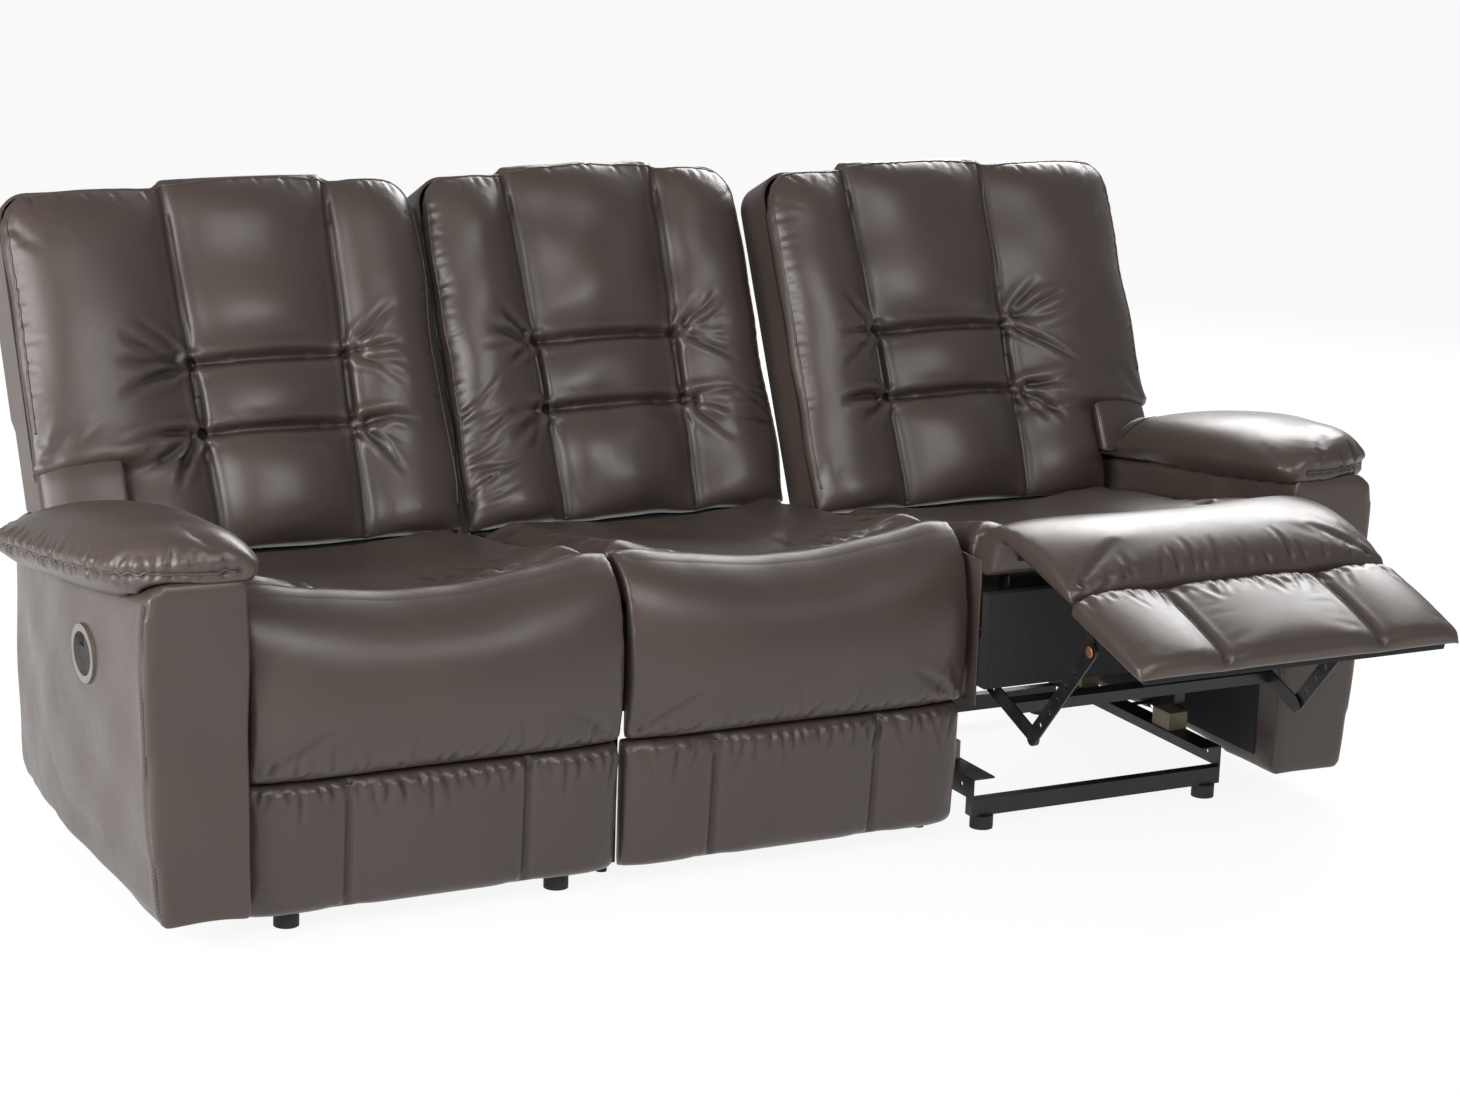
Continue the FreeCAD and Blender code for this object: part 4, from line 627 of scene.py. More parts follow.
def sampled(points: Sequence[Sequence[float]], step: float, cuts: int = 12) -> Points:
    """Points at an even step along a smooth line through the given ones."""
    given = np.array(points, float)
    if len(given) > 2:
        padded = np.vstack([2 * given[0] - given[1], given, 2 * given[-1] - given[-2]])
        fine = []
        for index in range(len(given) - 1):
            before, start, end, after = padded[index:index + 4]
            for share in np.linspace(0, 1, cuts, endpoint=False):
                fine.append(0.5 * (2 * start + (end - before) * share
                                   + (2 * before - 5 * start + 4 * end - after) * share ** 2
                                   + (3 * start - before - 3 * end + after) * share ** 3))
        given = np.vstack([fine, given[-1:]])
    runs = np.linalg.norm(np.diff(given, axis=0), axis=1)
    reach = np.concatenate([[0], np.cumsum(runs)])
    count = max(2, int(round(reach[-1] / step)) + 1)
    wanted = np.linspace(0, reach[-1], count)
    return np.column_stack([np.interp(wanted, reach, given[:, axis]) for axis in range(3)])


@dataclass
class Crease:
    """A fold pressed into leather along a path on the surface, with a ridge on both sides."""

    path: Points
    width: float
    depth: float
    lift: float = 0.45
    taper: Pair = (0.15, 0.9)

    felt: float = 5
    least: float = 0.25
    fade: float = 0.8
    ridge_place: float = 2.1
    ridge_width: float = 1.1

    def press(self, points: Points) -> Points:
        """How far each point moves along its normal."""
        low = self.path.min(0) - self.felt * self.width
        high = self.path.max(0) + self.felt * self.width
        near = np.flatnonzero(np.all((points > low) & (points < high), axis=1))
        heights = np.zeros(len(points))
        if not len(near):
            return heights
        best, share = self.nearest(points[near])
        rise, fall = self.taper
        strength = np.ones(len(near))
        if rise > 0:
            strength *= np.clip(share / rise, self.least, 1)
        if fall > 0:
            strength *= np.clip((1 - share) / fall, 0, 1) ** self.fade
        valley = np.exp(-(best / self.width) ** 2)
        ridge = np.exp(-((best - self.ridge_place * self.width) / (self.ridge_width * self.width)) ** 2)
        heights[near] = self.depth * strength * (self.lift * ridge - valley)
        return heights

    def nearest(self, points: Points) -> tuple[Points, Points]:
        """Each point's distance from the path, and how far along it that is."""
        best = np.full(len(points), math.inf)
        share = np.zeros(len(points))
        count = len(self.path) - 1
        for index in range(count):
            start, run = self.path[index], self.path[index + 1] - self.path[index]
            place = np.clip((points - start) @ run / max(run @ run, TINY ** 2), 0, 1)
            gap = np.linalg.norm(points - start - place[:, None] * run, axis=1)
            closer = gap < best
            best[closer] = gap[closer]
            share[closer] = (index + place[closer]) / count
        return best, share


# The taper of a seam, which is as deep at its ends
NO_TAPER: Pair = (0, 0)


def press_all(piece: bpy.types.Object, creases: Iterable[Crease]) -> None:
    """Press creases into a piece, all from the same surface."""
    points, normals = points_of(piece), normals_of(piece)
    heights = np.zeros(len(points))
    for crease in creases:
        heights += crease.press(points)
    set_points(piece, points + normals * heights[:, None])


def refine_near(piece: bpy.types.Object, paths: Sequence[Points], reach: float,
                chunk_size: int = 4000) -> None:
    """Split the faces that lie near some paths, found a chunk at a time."""
    marks = np.vstack(paths)
    mesh = piece.data
    centres = np.zeros(len(mesh.polygons) * 3)
    mesh.polygons.foreach_get("center", centres)
    centres = centres.reshape(-1, 3)
    near = np.zeros(len(centres), bool)
    for chunk in np.array_split(np.arange(len(centres)), max(1, len(centres) // chunk_size)):
        gaps = np.linalg.norm(centres[chunk, None, :] - marks[None, :, :], axis=2)
        near[chunk] = gaps.min(1) < reach
    select_only(piece)
    bpy.ops.object.mode_set(mode="EDIT")
    bpy.ops.mesh.select_mode(type="FACE")
    bpy.ops.mesh.select_all(action="DESELECT")
    bpy.ops.object.mode_set(mode="OBJECT")
    mesh.polygons.foreach_set("select", near)
    bpy.ops.object.mode_set(mode="EDIT")
    bpy.ops.mesh.subdivide(number_cuts=1)
    bpy.ops.object.mode_set(mode="OBJECT")


def mark_ridges(piece: bpy.types.Object, gain: float = 9, limit: float = 1.5, rounds: int = 3) -> None:
    """Store on each point how far it stands on a ridge, or in a crease below zero."""
    mesh = piece.data
    points, normals = points_of(piece), normals_of(piece)
    ends = np.zeros(len(mesh.edges) * 2, np.int64)
    mesh.edges.foreach_get("vertices", ends)
    ends = ends.reshape(-1, 2)
    count = len(points)
    degree = np.maximum(np.bincount(ends.ravel(), minlength=count), 1)

    def neighbours(values: Points) -> Points:
        """The mean over each point's neighbours."""
        total = np.bincount(ends[:, 0], values[ends[:, 1]], count)
        total += np.bincount(ends[:, 1], values[ends[:, 0]], count)
        return total / degree

    mean = np.column_stack([neighbours(points[:, axis]) for axis in range(3)])
    length = np.linalg.norm(points[ends[:, 0]] - points[ends[:, 1]], axis=1).mean()
    bend = -np.einsum("ij,ij->i", mean - points, normals) / length
    for _ in range(rounds):
        bend = 0.5 * bend + 0.5 * neighbours(bend)
    ridge = mesh.attributes.get("ridge") or mesh.attributes.new("ridge", "FLOAT", "POINT")
    ridge.data.foreach_set("value", np.clip(bend * gain, -limit, limit).astype(np.float32))


def smooth_shade(piece: bpy.types.Object) -> None:
    """Shade all faces smooth."""
    select_only(piece)
    bpy.ops.object.shade_smooth()


def settle(piece: bpy.types.Object, unit_body: str, place: Matrix, finish: Finish) -> bpy.types.Object:
    """Put a finished piece in the sofa's frame, dress it and let it ride."""
    piece.data.transform(place)
    piece.data.update()
    smooth_shade(piece)
    finish.dress(piece)
    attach(piece, unit_body)
    log.info("%s: %d faces on %s", piece.name, len(piece.data.polygons), unit_body)
    return piece


def soften(piece: bpy.types.Object, depth: float, seed: int, waves: int = 7,
           lengths: Pair = (90 * MM, 240 * MM)) -> None:
    """Give a stuffed piece the slow unevenness of its filling.

    Args:
        piece: The piece.
        depth: About how far its surface wanders.
        seed: Seed of the waves.
        waves: How many waves are laid over each other.
        lengths: The shortest and the longest wave.
    """
    draw = random.Random(seed)
    points, normals = points_of(piece), normals_of(piece)
    height = np.zeros(len(points))
    for _ in range(waves):
        heading = np.array([draw.gauss(0, 1) for _ in range(3)])
        heading *= 2 * math.pi / (draw.uniform(*lengths) * np.linalg.norm(heading))
        height += np.sin(points @ heading + draw.uniform(0, 2 * math.pi))
    set_points(piece, points + normals * (height * depth / 3)[:, None])


def block(name: str, across: Pair, back: Pair, up: Pair) -> bpy.types.Object:
    """A block from its spans along X, Y and Z."""
    bpy.ops.object.select_all(action="DESELECT")
    bpy.ops.mesh.primitive_cube_add(size=1.0)
    piece = bpy.context.active_object
    piece.name = name
    bpy.ops.object.mode_set(mode="EDIT")
    bpy.ops.mesh.select_all(action="SELECT")
    bpy.ops.transform.resize(value=(across[1] - across[0], back[1] - back[0], up[1] - up[0]))
    bpy.ops.transform.translate(value=(sum(across) / 2, sum(back) / 2, sum(up) / 2))
    bpy.ops.object.mode_set(mode="OBJECT")
    return piece


def slab(name: str, across: Pair, back: Pair, up: Pair, round_by: float) -> bpy.types.Object:
    """A flat block with rounded edges."""
    piece = block(name, across, back, up)
    apply_modifier(piece, "BEVEL", width=round_by, segments=2)
    return piece


def stitch_template() -> tuple[Points, list[tuple[int, ...]]]:
    """One stitch along X, modelled once: a small bead with pointed ends."""
    bpy.ops.object.select_all(action="DESELECT")
    bpy.ops.mesh.primitive_uv_sphere_add(segments=6, ring_count=4, radius=1.0)
    bead = bpy.context.active_object
    bpy.ops.object.mode_set(mode="EDIT")
    bpy.ops.mesh.select_all(action="SELECT")
    bpy.ops.transform.resize(value=(0.5 * MM, 0.42 * MM, 2.3 * MM))
    bpy.ops.object.mode_set(mode="OBJECT")
    points = points_of(bead)[:, [2, 0, 1]]
    faces = [tuple(face.vertices) for face in bead.data.polygons]
    bpy.data.objects.remove(bead)
    return points, faces


STITCH = stitch_template()


def directions(path: Points) -> Points:
    """Unit tangents of a path."""
    run = np.gradient(path, axis=0)
    return run / np.maximum(np.linalg.norm(run, axis=1, keepdims=True), TINY)


def mesh_piece(name: str, points: Points, faces: Sequence[Sequence[int]]) -> bpy.types.Object:
    """A new piece from points and faces."""
    mesh = bpy.data.meshes.new(name)
    mesh.from_pydata([tuple(point) for point in points], [], [tuple(face) for face in faces])
    mesh.update()
    piece = bpy.data.objects.new(name, mesh)
    bpy.context.scene.collection.objects.link(piece)
    return piece


def stitching(name: str, skin: Skin, paths: Sequence[Points], rows: Sequence[float] = (-4 * MM, 4 * MM),
              pitch: float = 6.2 * MM, lift_by: float = 0.15 * MM) -> bpy.types.Object:
    """Rows of stitches beside seams.

    Args:
        name: The piece's name.
        skin: The leather they are sewn through.
        paths: The seams, on that leather.
        rows: How far each row lies from its seam.
        pitch: From one stitch to the next.
        lift_by: How far a stitch's middle stands off the leather.

    Returns:
        The stitches as one piece.
    """
    bead, faces = STITCH
    all_points, all_faces = [], []
    for path in paths:
        line = sampled(path, pitch)
        along = directions(line)
        across = np.cross(skin.lay(line)[1], along)
        for row in rows:
            places, lifts = skin.lay(line + across * row)
            for place, lift, run in zip(places, lifts, along):
                side = np.cross(lift, run)
                side /= max(np.linalg.norm(side), TINY)
                basis = np.column_stack([run, side, lift])
                start = len(all_points) * len(bead)
                all_points.append(bead @ basis.T + place + lift * lift_by)
                all_faces += [tuple(corner + start for corner in face) for face in faces]
    return mesh_piece(name, np.vstack(all_points), all_faces)


LAP_PROFILE = ((-0.5, -0.5), (-0.42, 0.2), (-0.18, 0.5), (0.18, 0.5), (0.42, 0.2), (0.5, -0.5))


def seam_line(name: str, skin: Skin, paths: Sequence[Points], width: float = 1.5 * MM,
              height: float = 0.7 * MM) -> bpy.types.Object:
    """The joint between two sewn panels, as a raised lap or a welt along each path."""
    points, faces = [], []
    corners = len(LAP_PROFILE)
    for path in paths:
        line = sampled(path, 4 * MM)
        places, normals = skin.lay(line)
        across = np.cross(normals, directions(places))
        start = len(points)
        for place, normal, side in zip(places, normals, across):
            points += [place + side * width * x + normal * height * z for x, z in LAP_PROFILE]
        for index in range(len(line) - 1):
            ring = start + index * corners
            for corner in range(corners):
                one, two = ring + corner, ring + (corner + 1) % corners
                faces.append((one, two, two + corners, one + corners))
        faces.append(tuple(start + corner for corner in reversed(range(corners))))
        faces.append(tuple(start + (len(line) - 1) * corners + corner for corner in range(corners)))
    return mesh_piece(name, np.array(points), faces)


# Where leather folds

@dataclass(frozen=True)
class Fan:
    """Folds that spread from a corner where the leather is drawn in."""

    root: Pair
    heading: float
    spread: float
    count: int
    reach: Pair
    depth: float = 4.5 * MM
    width: float = 5 * MM

    def flipped(self) -> "Fan":
        """The same fan on the other side."""
        return replace(self, root=(-self.root[0], self.root[1]), heading=180 - self.heading)

    def lines(self, draw: random.Random) -> list[list[Pair]]:
        """The folds as lines of points in the plane."""
        found = []
        for index in range(self.count):
            share = (index + 0.5 + draw.uniform(-0.3, 0.3)) / self.count - 0.5
            angle = math.radians(self.heading + self.spread * share)
            reach = draw.uniform(*self.reach)
            bow = draw.uniform(-0.16, 0.16)
            start = draw.uniform(0.03, 0.16) * reach
            line = []
            for step in range(5):
                along = start + (reach - start) * step / 4
                turned = angle + bow * (along / reach) ** 1.5
                line.append((self.root[0] + along * math.cos(turned),
                             self.root[1] + along * math.sin(turned)))
            found.append(line)
        return found


@dataclass(frozen=True)
class Gather:
    """Short folds along a seam, square to it or leaning."""

    start: Pair
    end: Pair
    heading: float
    count: int
    reach: Pair
    depth: float = 2.5 * MM
    width: float = 4 * MM

    def flipped(self) -> "Gather":
        """The same folds on the other side."""
        return replace(self, start=(-self.start[0], self.start[1]), end=(-self.end[0], self.end[1]),
                       heading=180 - self.heading)

    def lines(self, draw: random.Random) -> list[list[Pair]]:
        """The folds as lines of points in the plane."""
        found = []
        for index in range(self.count):
            share = (index + draw.uniform(0.1, 0.9)) / self.count
            root = [a + (b - a) * share for a, b in zip(self.start, self.end)]
            angle = math.radians(self.heading + draw.uniform(-14, 14))
            reach = draw.uniform(*self.reach)
            bend = draw.uniform(-0.3, 0.3)
            line = []
            for step in range(4):
                turned = angle + bend * step / 3
                line.append((root[0] + reach * step / 3 * math.cos(turned),
                             root[1] + reach * step / 3 * math.sin(turned)))
            found.append(line)
        return found


Folds = Sequence[Union[Fan, Gather]]


def folds_on(skin: Skin, folds: Folds, lift: Callable[[Pair], Vector], along: Vector,
             seed: int) -> list[Crease]:
    """Lay folds on a surface.

    Args:
        skin: The surface.
        folds: Fans and gathers in the plane of the piece.
        lift: From a point of that plane to a point above the surface.
        along: The direction in which the points drop.
        seed: Seed of the folds' small differences.

    Returns:
        The creases.
    """
    draw = random.Random(seed)
    creases = []
    for fold in folds:
        for line in fold.lines(draw):
            path, _ = skin.lay([lift(point) for point in line], along)
            strength = draw.uniform(0.55, 1.0)
            creases.append(Crease(path, fold.width * draw.uniform(0.8, 1.25), fold.depth * strength))
    return creases


# Upholstery

@dataclass(frozen=True)
class Crest:
    """How a seat's front edge sags in the middle and stands up at its corners."""

    sag: float = 17 * MM
    rise: float = 7 * MM
    half: float = 289 * MM
    sag_span: Pair = (0.1, 0.72)
    rise_span: Pair = (0.6, 0.9)
    rear_span: Pair = (120 * MM, 330 * MM)
    foot_span: Pair = (400 * MM, 490 * MM)

    def shape(self, points: Points) -> Points:
        """The points of a seat or a chaise, in the seat's own frame, with the crest drawn in."""
        across, back, up = points.T
        share = np.clip(np.abs(across) / self.half, 0, 1)
        profile = -self.sag * (1 - smoothstep(share, *self.sag_span)) + self.rise * smoothstep(
            share, *self.rise_span)
        near = (1 - smoothstep(back, *self.rear_span)) * smoothstep(up, *self.foot_span)
        moved = points.copy()
        moved[:, 2] += profile * near
        return moved


CREST = Crest()


@dataclass
class Cushion:
    """A stuffed piece of one seat, worked from its CAD solid in its own frame."""

    unit: Unit
    folds: Folds = ()
    seed: int = 1

    part: Part = Part.FOOTREST
    node: str = ""
    word: str = ""
    voxel: float = 8 * MM
    rounds: int = 3
    swell: float = 8 * MM
    wander: float = 0.0
    fill: float = 0.75
    crested: bool = False
    afar: float = -0.3
    path_step: float = 5 * MM
    refined: float = 10 * MM
    sewn_press: tuple[float, float, float] = (6 * MM, 4 * MM, 0.25)
    deep_press: tuple[float, float, float] = (7 * MM, 9 * MM, 0.2)

    @property
    def place(self) -> Matrix:
        """From the cushion's own frame to the sofa's."""
        return self.unit.frame_of(self.part)

    @property
    def inward(self) -> Vector:
        """The way into its face."""
        return Vector((0, 1, 0) if self.part is Part.FOOTREST else (0, 0, -1))

    def outside(self, point: Pair) -> Vector:
        """The place outside its face over a point of its plane."""
        across, along = point
        if self.part is Part.FOOTREST:
            return Vector((across, self.afar, along))
        return Vector((across, along, self.afar))

    def named(self, ending: str) -> str:
        """The name of one of its pieces."""
        return f"{self.unit.name}_{self.word}_{ending}"

    def held(self, points: Points) -> Points:
        """How firmly each point is held; each kind has its own."""
        raise NotImplementedError

    def seams(self) -> tuple[list[Points], list[Points]]:
        """Seams with stitches and creases without, outside its face; none for a plain cushion."""
        return [], []

    def trims(self, skin: Skin, sewn: Sequence[Points]) -> list[tuple[bpy.types.Object, Finish]]:
        """Stitches and laps along the sewn seams."""
        return [(stitching(self.named("stitches"), skin, sewn), SEWING),
                (seam_line(self.named("seams"), skin, sewn), SEWING)]

    def build(self) -> bpy.types.Object:
        """Remesh the solid and fill it."""
        solid = f"{self.unit.name}_{self.node}"
        piece = solid_copy(solid, self.named("upholstery"), self.place, self.voxel)
        relax(piece, self.rounds)
        Stuffing(self.swell).fill(piece, self.held)
        return piece

    def detail(self, piece: bpy.types.Object) -> None:
        """Fold, sew and dress the piece, once it is filled."""
        split(piece)
        if self.crested:
            set_points(piece, CREST.shape(points_of(piece)))
        skin = Skin(piece)
        press_all(piece, folds_on(skin, self.folds, self.outside, self.inward, self.seed))
        if self.wander:
            soften(piece, self.wander, self.seed)
        sewn, deep = ([skin.lay(sampled(path, self.path_step), self.inward)[0] for path in paths]
                      for paths in self.seams())
        if sewn:
            refine_near(piece, sewn + deep, self.refined)
            press_all(piece, [Crease(path, *self.sewn_press, NO_TAPER) for path in sewn]
                      + [Crease(path, *self.deep_press, NO_TAPER) for path in deep])
        mark_ridges(piece)
        trims = self.trims(Skin(piece), sewn) if sewn else []
        for part, finish in [(piece, LEATHER), *trims]:
            settle(part, self.unit.body(self.part), self.place, finish)
        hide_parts(f"{self.unit.name}_{self.node}")


@dataclass
class BackCushion(Cushion):
    """One back: head pad, lumbar roll, lower pad and bolsters under one skin of leather."""

    part: Part = Part.BACK
    node: str = "back_cushion"
    word: str = "back"
    voxel: float = 9 * MM
    rounds: int = 2
    swell: float = 16 * MM
    wander: float = 2.2 * MM
    fill: float = 0.85
    afar: float = 200 * MM
    sewn_press: tuple[float, float, float] = (6 * MM, 3.8 * MM, 0.3)

    top: float = 586 * MM
    foot: float = -12 * MM
    roll: Pair = (177 * MM, 292 * MM)
    seam_foot_x: float = 125 * MM
    seam_top_x: float = 137 * MM
    half: float = 289 * MM
    wing_reach: float = 110 * MM
    wing_foot: float = 196 * MM
    side_foot: float = 30 * MM
    base: float = -12 * MM
    piping_level: float = 16 * MM
    corner: float = 46 * MM

    def seam_x(self, along: Any) -> Any:
        """Half the distance between the upright seams at one height or several."""
        share = (along - self.roll[0]) / (self.top - self.roll[0])
        return self.seam_foot_x + (self.seam_top_x - self.seam_foot_x) * share

    def held(self, points: Points) -> Points:
        """Firm at the seams and on the frame."""
        across, along, out = points.T
        seam = self.seam_x(along)
        upright = np.exp(-((np.abs(across) - seam) / (10 * MM)) ** 2)
        level = np.minimum(np.abs(along - self.roll[0]), np.abs(along - self.roll[1]))
        across_roll = np.exp(-(level / (9 * MM)) ** 2) * (np.abs(across) < seam)
        rear = 1 - smoothstep(out, self.base + 3 * MM, self.base + 16 * MM)
        return np.clip(np.maximum(np.maximum(upright, across_roll), rear), 0, 1)

    def upright(self, side: int, low: float, top: float, count: int = 8) -> Points:
        """A stretch of one upright seam."""
        return np.array([(side * self.seam_x(along), along, self.afar)
                         for along in np.linspace(low, top, count)])

    def seams(self) -> tuple[list[Points], list[Points]]:
        """Upright seams with stitches, and the deep creases round the lumbar roll."""
        sewn, deep = [], []
        for side in (-1, 1):
            sewn.append(self.upright(side, self.foot + 8 * MM, self.roll[0] - 4 * MM))
            sewn.append(self.upright(side, self.roll[1] + 4 * MM, self.top - 6 * MM))
            deep.append(self.upright(side, *self.roll, 6))
        for level in self.roll:
            reach = self.seam_x(level)
            deep.append(np.array([(x, level, self.afar) for x in np.linspace(-reach, reach, 8)]))
        return sewn, deep

    def outline(self, skin: Skin) -> Points:
        """The piped seam round the back's front, up one side, over the top and down the other."""
        sides = {side: self.half + (self.wing_reach if side == self.unit.side else 0) for side in (-1, 1)}
        feet = {side: self.wing_foot if side == self.unit.side else self.side_foot for side in (-1, 1)}
        turns = np.linspace(0.2, 1.37, 4)
        shoulder = self.top - self.corner

        def rounded(side: int, turn: float) -> tuple[float, float, float]:
            """A point of one of the upper corners."""
            return (side * (sides[side] - self.corner * (1 - math.cos(turn))),
                    self.top - self.corner * (1 - math.sin(turn)), self.piping_level)

        line = [(-sides[-1], along, self.piping_level) for along in np.linspace(feet[-1], shoulder, 12)]
        line += [rounded(-1, turn) for turn in turns]
        line += [(x, self.top, self.piping_level)
                 for x in np.linspace(self.corner - sides[-1], sides[1] - self.corner, 14)]
        line += [rounded(1, turn) for turn in reversed(turns)]
        line += [(sides[1], along, self.piping_level) for along in np.linspace(shoulder, feet[1], 12)]
        return skin.lay(sampled(line, 6 * MM))[0]

    def trims(self, skin: Skin, sewn: Sequence[Points]) -> list[tuple[bpy.types.Object, Finish]]:
        """Stitches, laps and the piping."""
        found = super().trims(skin, sewn)
        piping = seam_line(self.named("piping"), skin, [self.outline(skin)], 5 * MM, 3.2 * MM)
        return [*found, (piping, LEATHER)]

    def build(self) -> bpy.types.Object:
        """Fill the back and calm its cloth."""
        piece = super().build()
        relax(piece, 1)
        return piece


@dataclass
class SeatCushion(Cushion):
    """Seat cushion: high at its front corners and hollowed to the rear."""

    part: Part = Part.SEAT
    node: str = "seat_cushion"
    word: str = "seat"
    voxel: float = 9 * MM
    swell: float = 14 * MM
    wander: float = 2.4 * MM
    fill: float = 0.8
    crested: bool = True
    afar: float = 800 * MM
    underside: float = 345 * MM

    def held(self, points: Points) -> Points:
        """Firm underneath and at the rear."""
        return 1 - smoothstep(points[:, 2], self.underside + 8 * MM, self.underside + 45 * MM)


@dataclass
class ChaisePad(Cushion):
    """Chaise pad: the seat's front when closed and the calf support when open."""

    node: str = "chaise_pad"
    word: str = "chaise"
    crested: bool = True
    rear: float = 12 * MM

    def held(self, points: Points) -> Points:
        """Firm at the rear and round the hinge."""
        return smoothstep(points[:, 1], self.rear - 26 * MM, self.rear - 6 * MM)


@dataclass
class LowerPanel(Cushion):
    """Lower panel: the foot support when open, with two stitched upright seams."""

    node: str = "lower_panel"
    word: str = "panel"
    rounds: int = 2
    rear: float = 26 * MM
    seam: float = 140 * MM
    span: Pair = (40 * MM, 226 * MM)

    def held(self, points: Points) -> Points:
        """Firm at the rear and at the seams."""
        back = smoothstep(points[:, 1], self.rear - 18 * MM, self.rear - 4 * MM)
        seam = np.exp(-((np.abs(points[:, 0]) - self.seam) / (9 * MM)) ** 2)
        return np.clip(np.maximum(back, seam), 0, 1)

    def seams(self) -> tuple[list[Points], list[Points]]:
        """Two upright seams."""
        levels = np.linspace(*self.span, 8)
        lines = [[(side * self.seam, self.afar, level) for level in levels] for side in (-1, 1)]
        return [np.array(line) for line in lines], []


@dataclass
class Bridge:
    """Leather that joins a seat cushion to its chaise over the hinge."""

    unit: Unit
    rear: float = 128 * MM
    front: float = 26 * MM
    top: float = 506.5 * MM
    least: float = 466.5 * MM
    half: float = 286 * MM
    thickness: float = 3 * MM
    turn: Pair = (104 * MM, 52 * MM)
    above: float = 600 * MM
    drop: float = 300 * MM
    rows: int = 14
    columns: int = 60
    crown: float = 2.5 * MM
    side_dip: float = 2.0 * MM
    end_dip: float = 1.2 * MM
    edge_rate: float = 20

    def build(self, seat: bpy.types.Object, chaise: bpy.types.Object) -> None:
        """Lay the leather over both cushions, closed, then turn it with the footrest.

        Args:
            seat: The seat cushion, in the sofa's frame.
            chaise: The chaise pad, in the sofa's frame.
        """
        seat_frame, rest_frame = self.unit.frame_of(Part.SEAT), self.unit.frame_of(Part.FOOTREST)
        rests = ((Skin(seat), seat_frame), (Skin(chaise), rest_frame))
        columns = self.columns
        points = np.array([self.highest(rests, across, back)
                           for back in np.linspace(self.rear, self.front, self.rows)
                           for across in np.linspace(-self.half, self.half, columns)])
        ways = np.linspace(0, 1, columns)
        edge = np.tile(np.minimum(ways, ways[::-1]), self.rows)
        share = np.repeat(np.linspace(0, 1, self.rows), columns)
        points[:, 2] += np.sin(math.pi * share) * self.crown
        points[:, 2] -= self.side_dip * (1 - np.minimum(1, edge * self.edge_rate))
        points[:, 2] -= self.end_dip * ((share == 0) | (share == 1))
        faces = [(first, first + columns, first + columns + 1, first + 1)
                 for row in range(self.rows - 1)
                 for first in range(row * columns, (row + 1) * columns - 1)]
        piece = mesh_piece(self.unit.name + "_bridge", self.turned(points), faces)
        apply_modifier(piece, "SOLIDIFY", thickness=self.thickness, offset=-1)
        split(piece)
        mark_ridges(piece)
        piece.data.transform(seat_frame)
        smooth_shade(piece)
        LEATHER.dress(piece)
        seat_body, rest_body = self.unit.body(Part.SEAT), self.unit.body(Part.FOOTREST)
        if self.unit.side:
            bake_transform(piece)
        else:
            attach(piece, seat_body)
        log.info("%s: %d faces", piece.name, len(piece.data.polygons))

    def highest(self, rests: Sequence[tuple[Skin, Matrix]], across: float,
                back: float) -> tuple[float, float, float]:
        """The higher of both cushions' tops at a place, both closed."""
        top = self.least
        for skin, stands in rests:
            way = stands.to_3x3() @ Vector((0, 0, -1))
            place = skin.hit(stands @ Vector((across, back, self.above)), way, self.drop)
            if place is not None:
                top = max(top, (stands.inverted() @ place).z)
        return (across, back, top)

    def turned(self, points: Points) -> Points:
        """Turn the front of the bridge with an open footrest."""
        if not self.unit.opened:
            return points
        angle = -self.unit.swing * smoothstep(points[:, 1], *self.turn)
        back, up = points[:, 1] - self.unit.hinge[0], points[:, 2] - self.unit.hinge[1]
        moved = points.copy()
        moved[:, 1] = self.unit.hinge[0] + back * np.cos(angle) - up * np.sin(angle)
        moved[:, 2] = self.unit.hinge[1] + back * np.sin(angle) + up * np.cos(angle)
        return moved


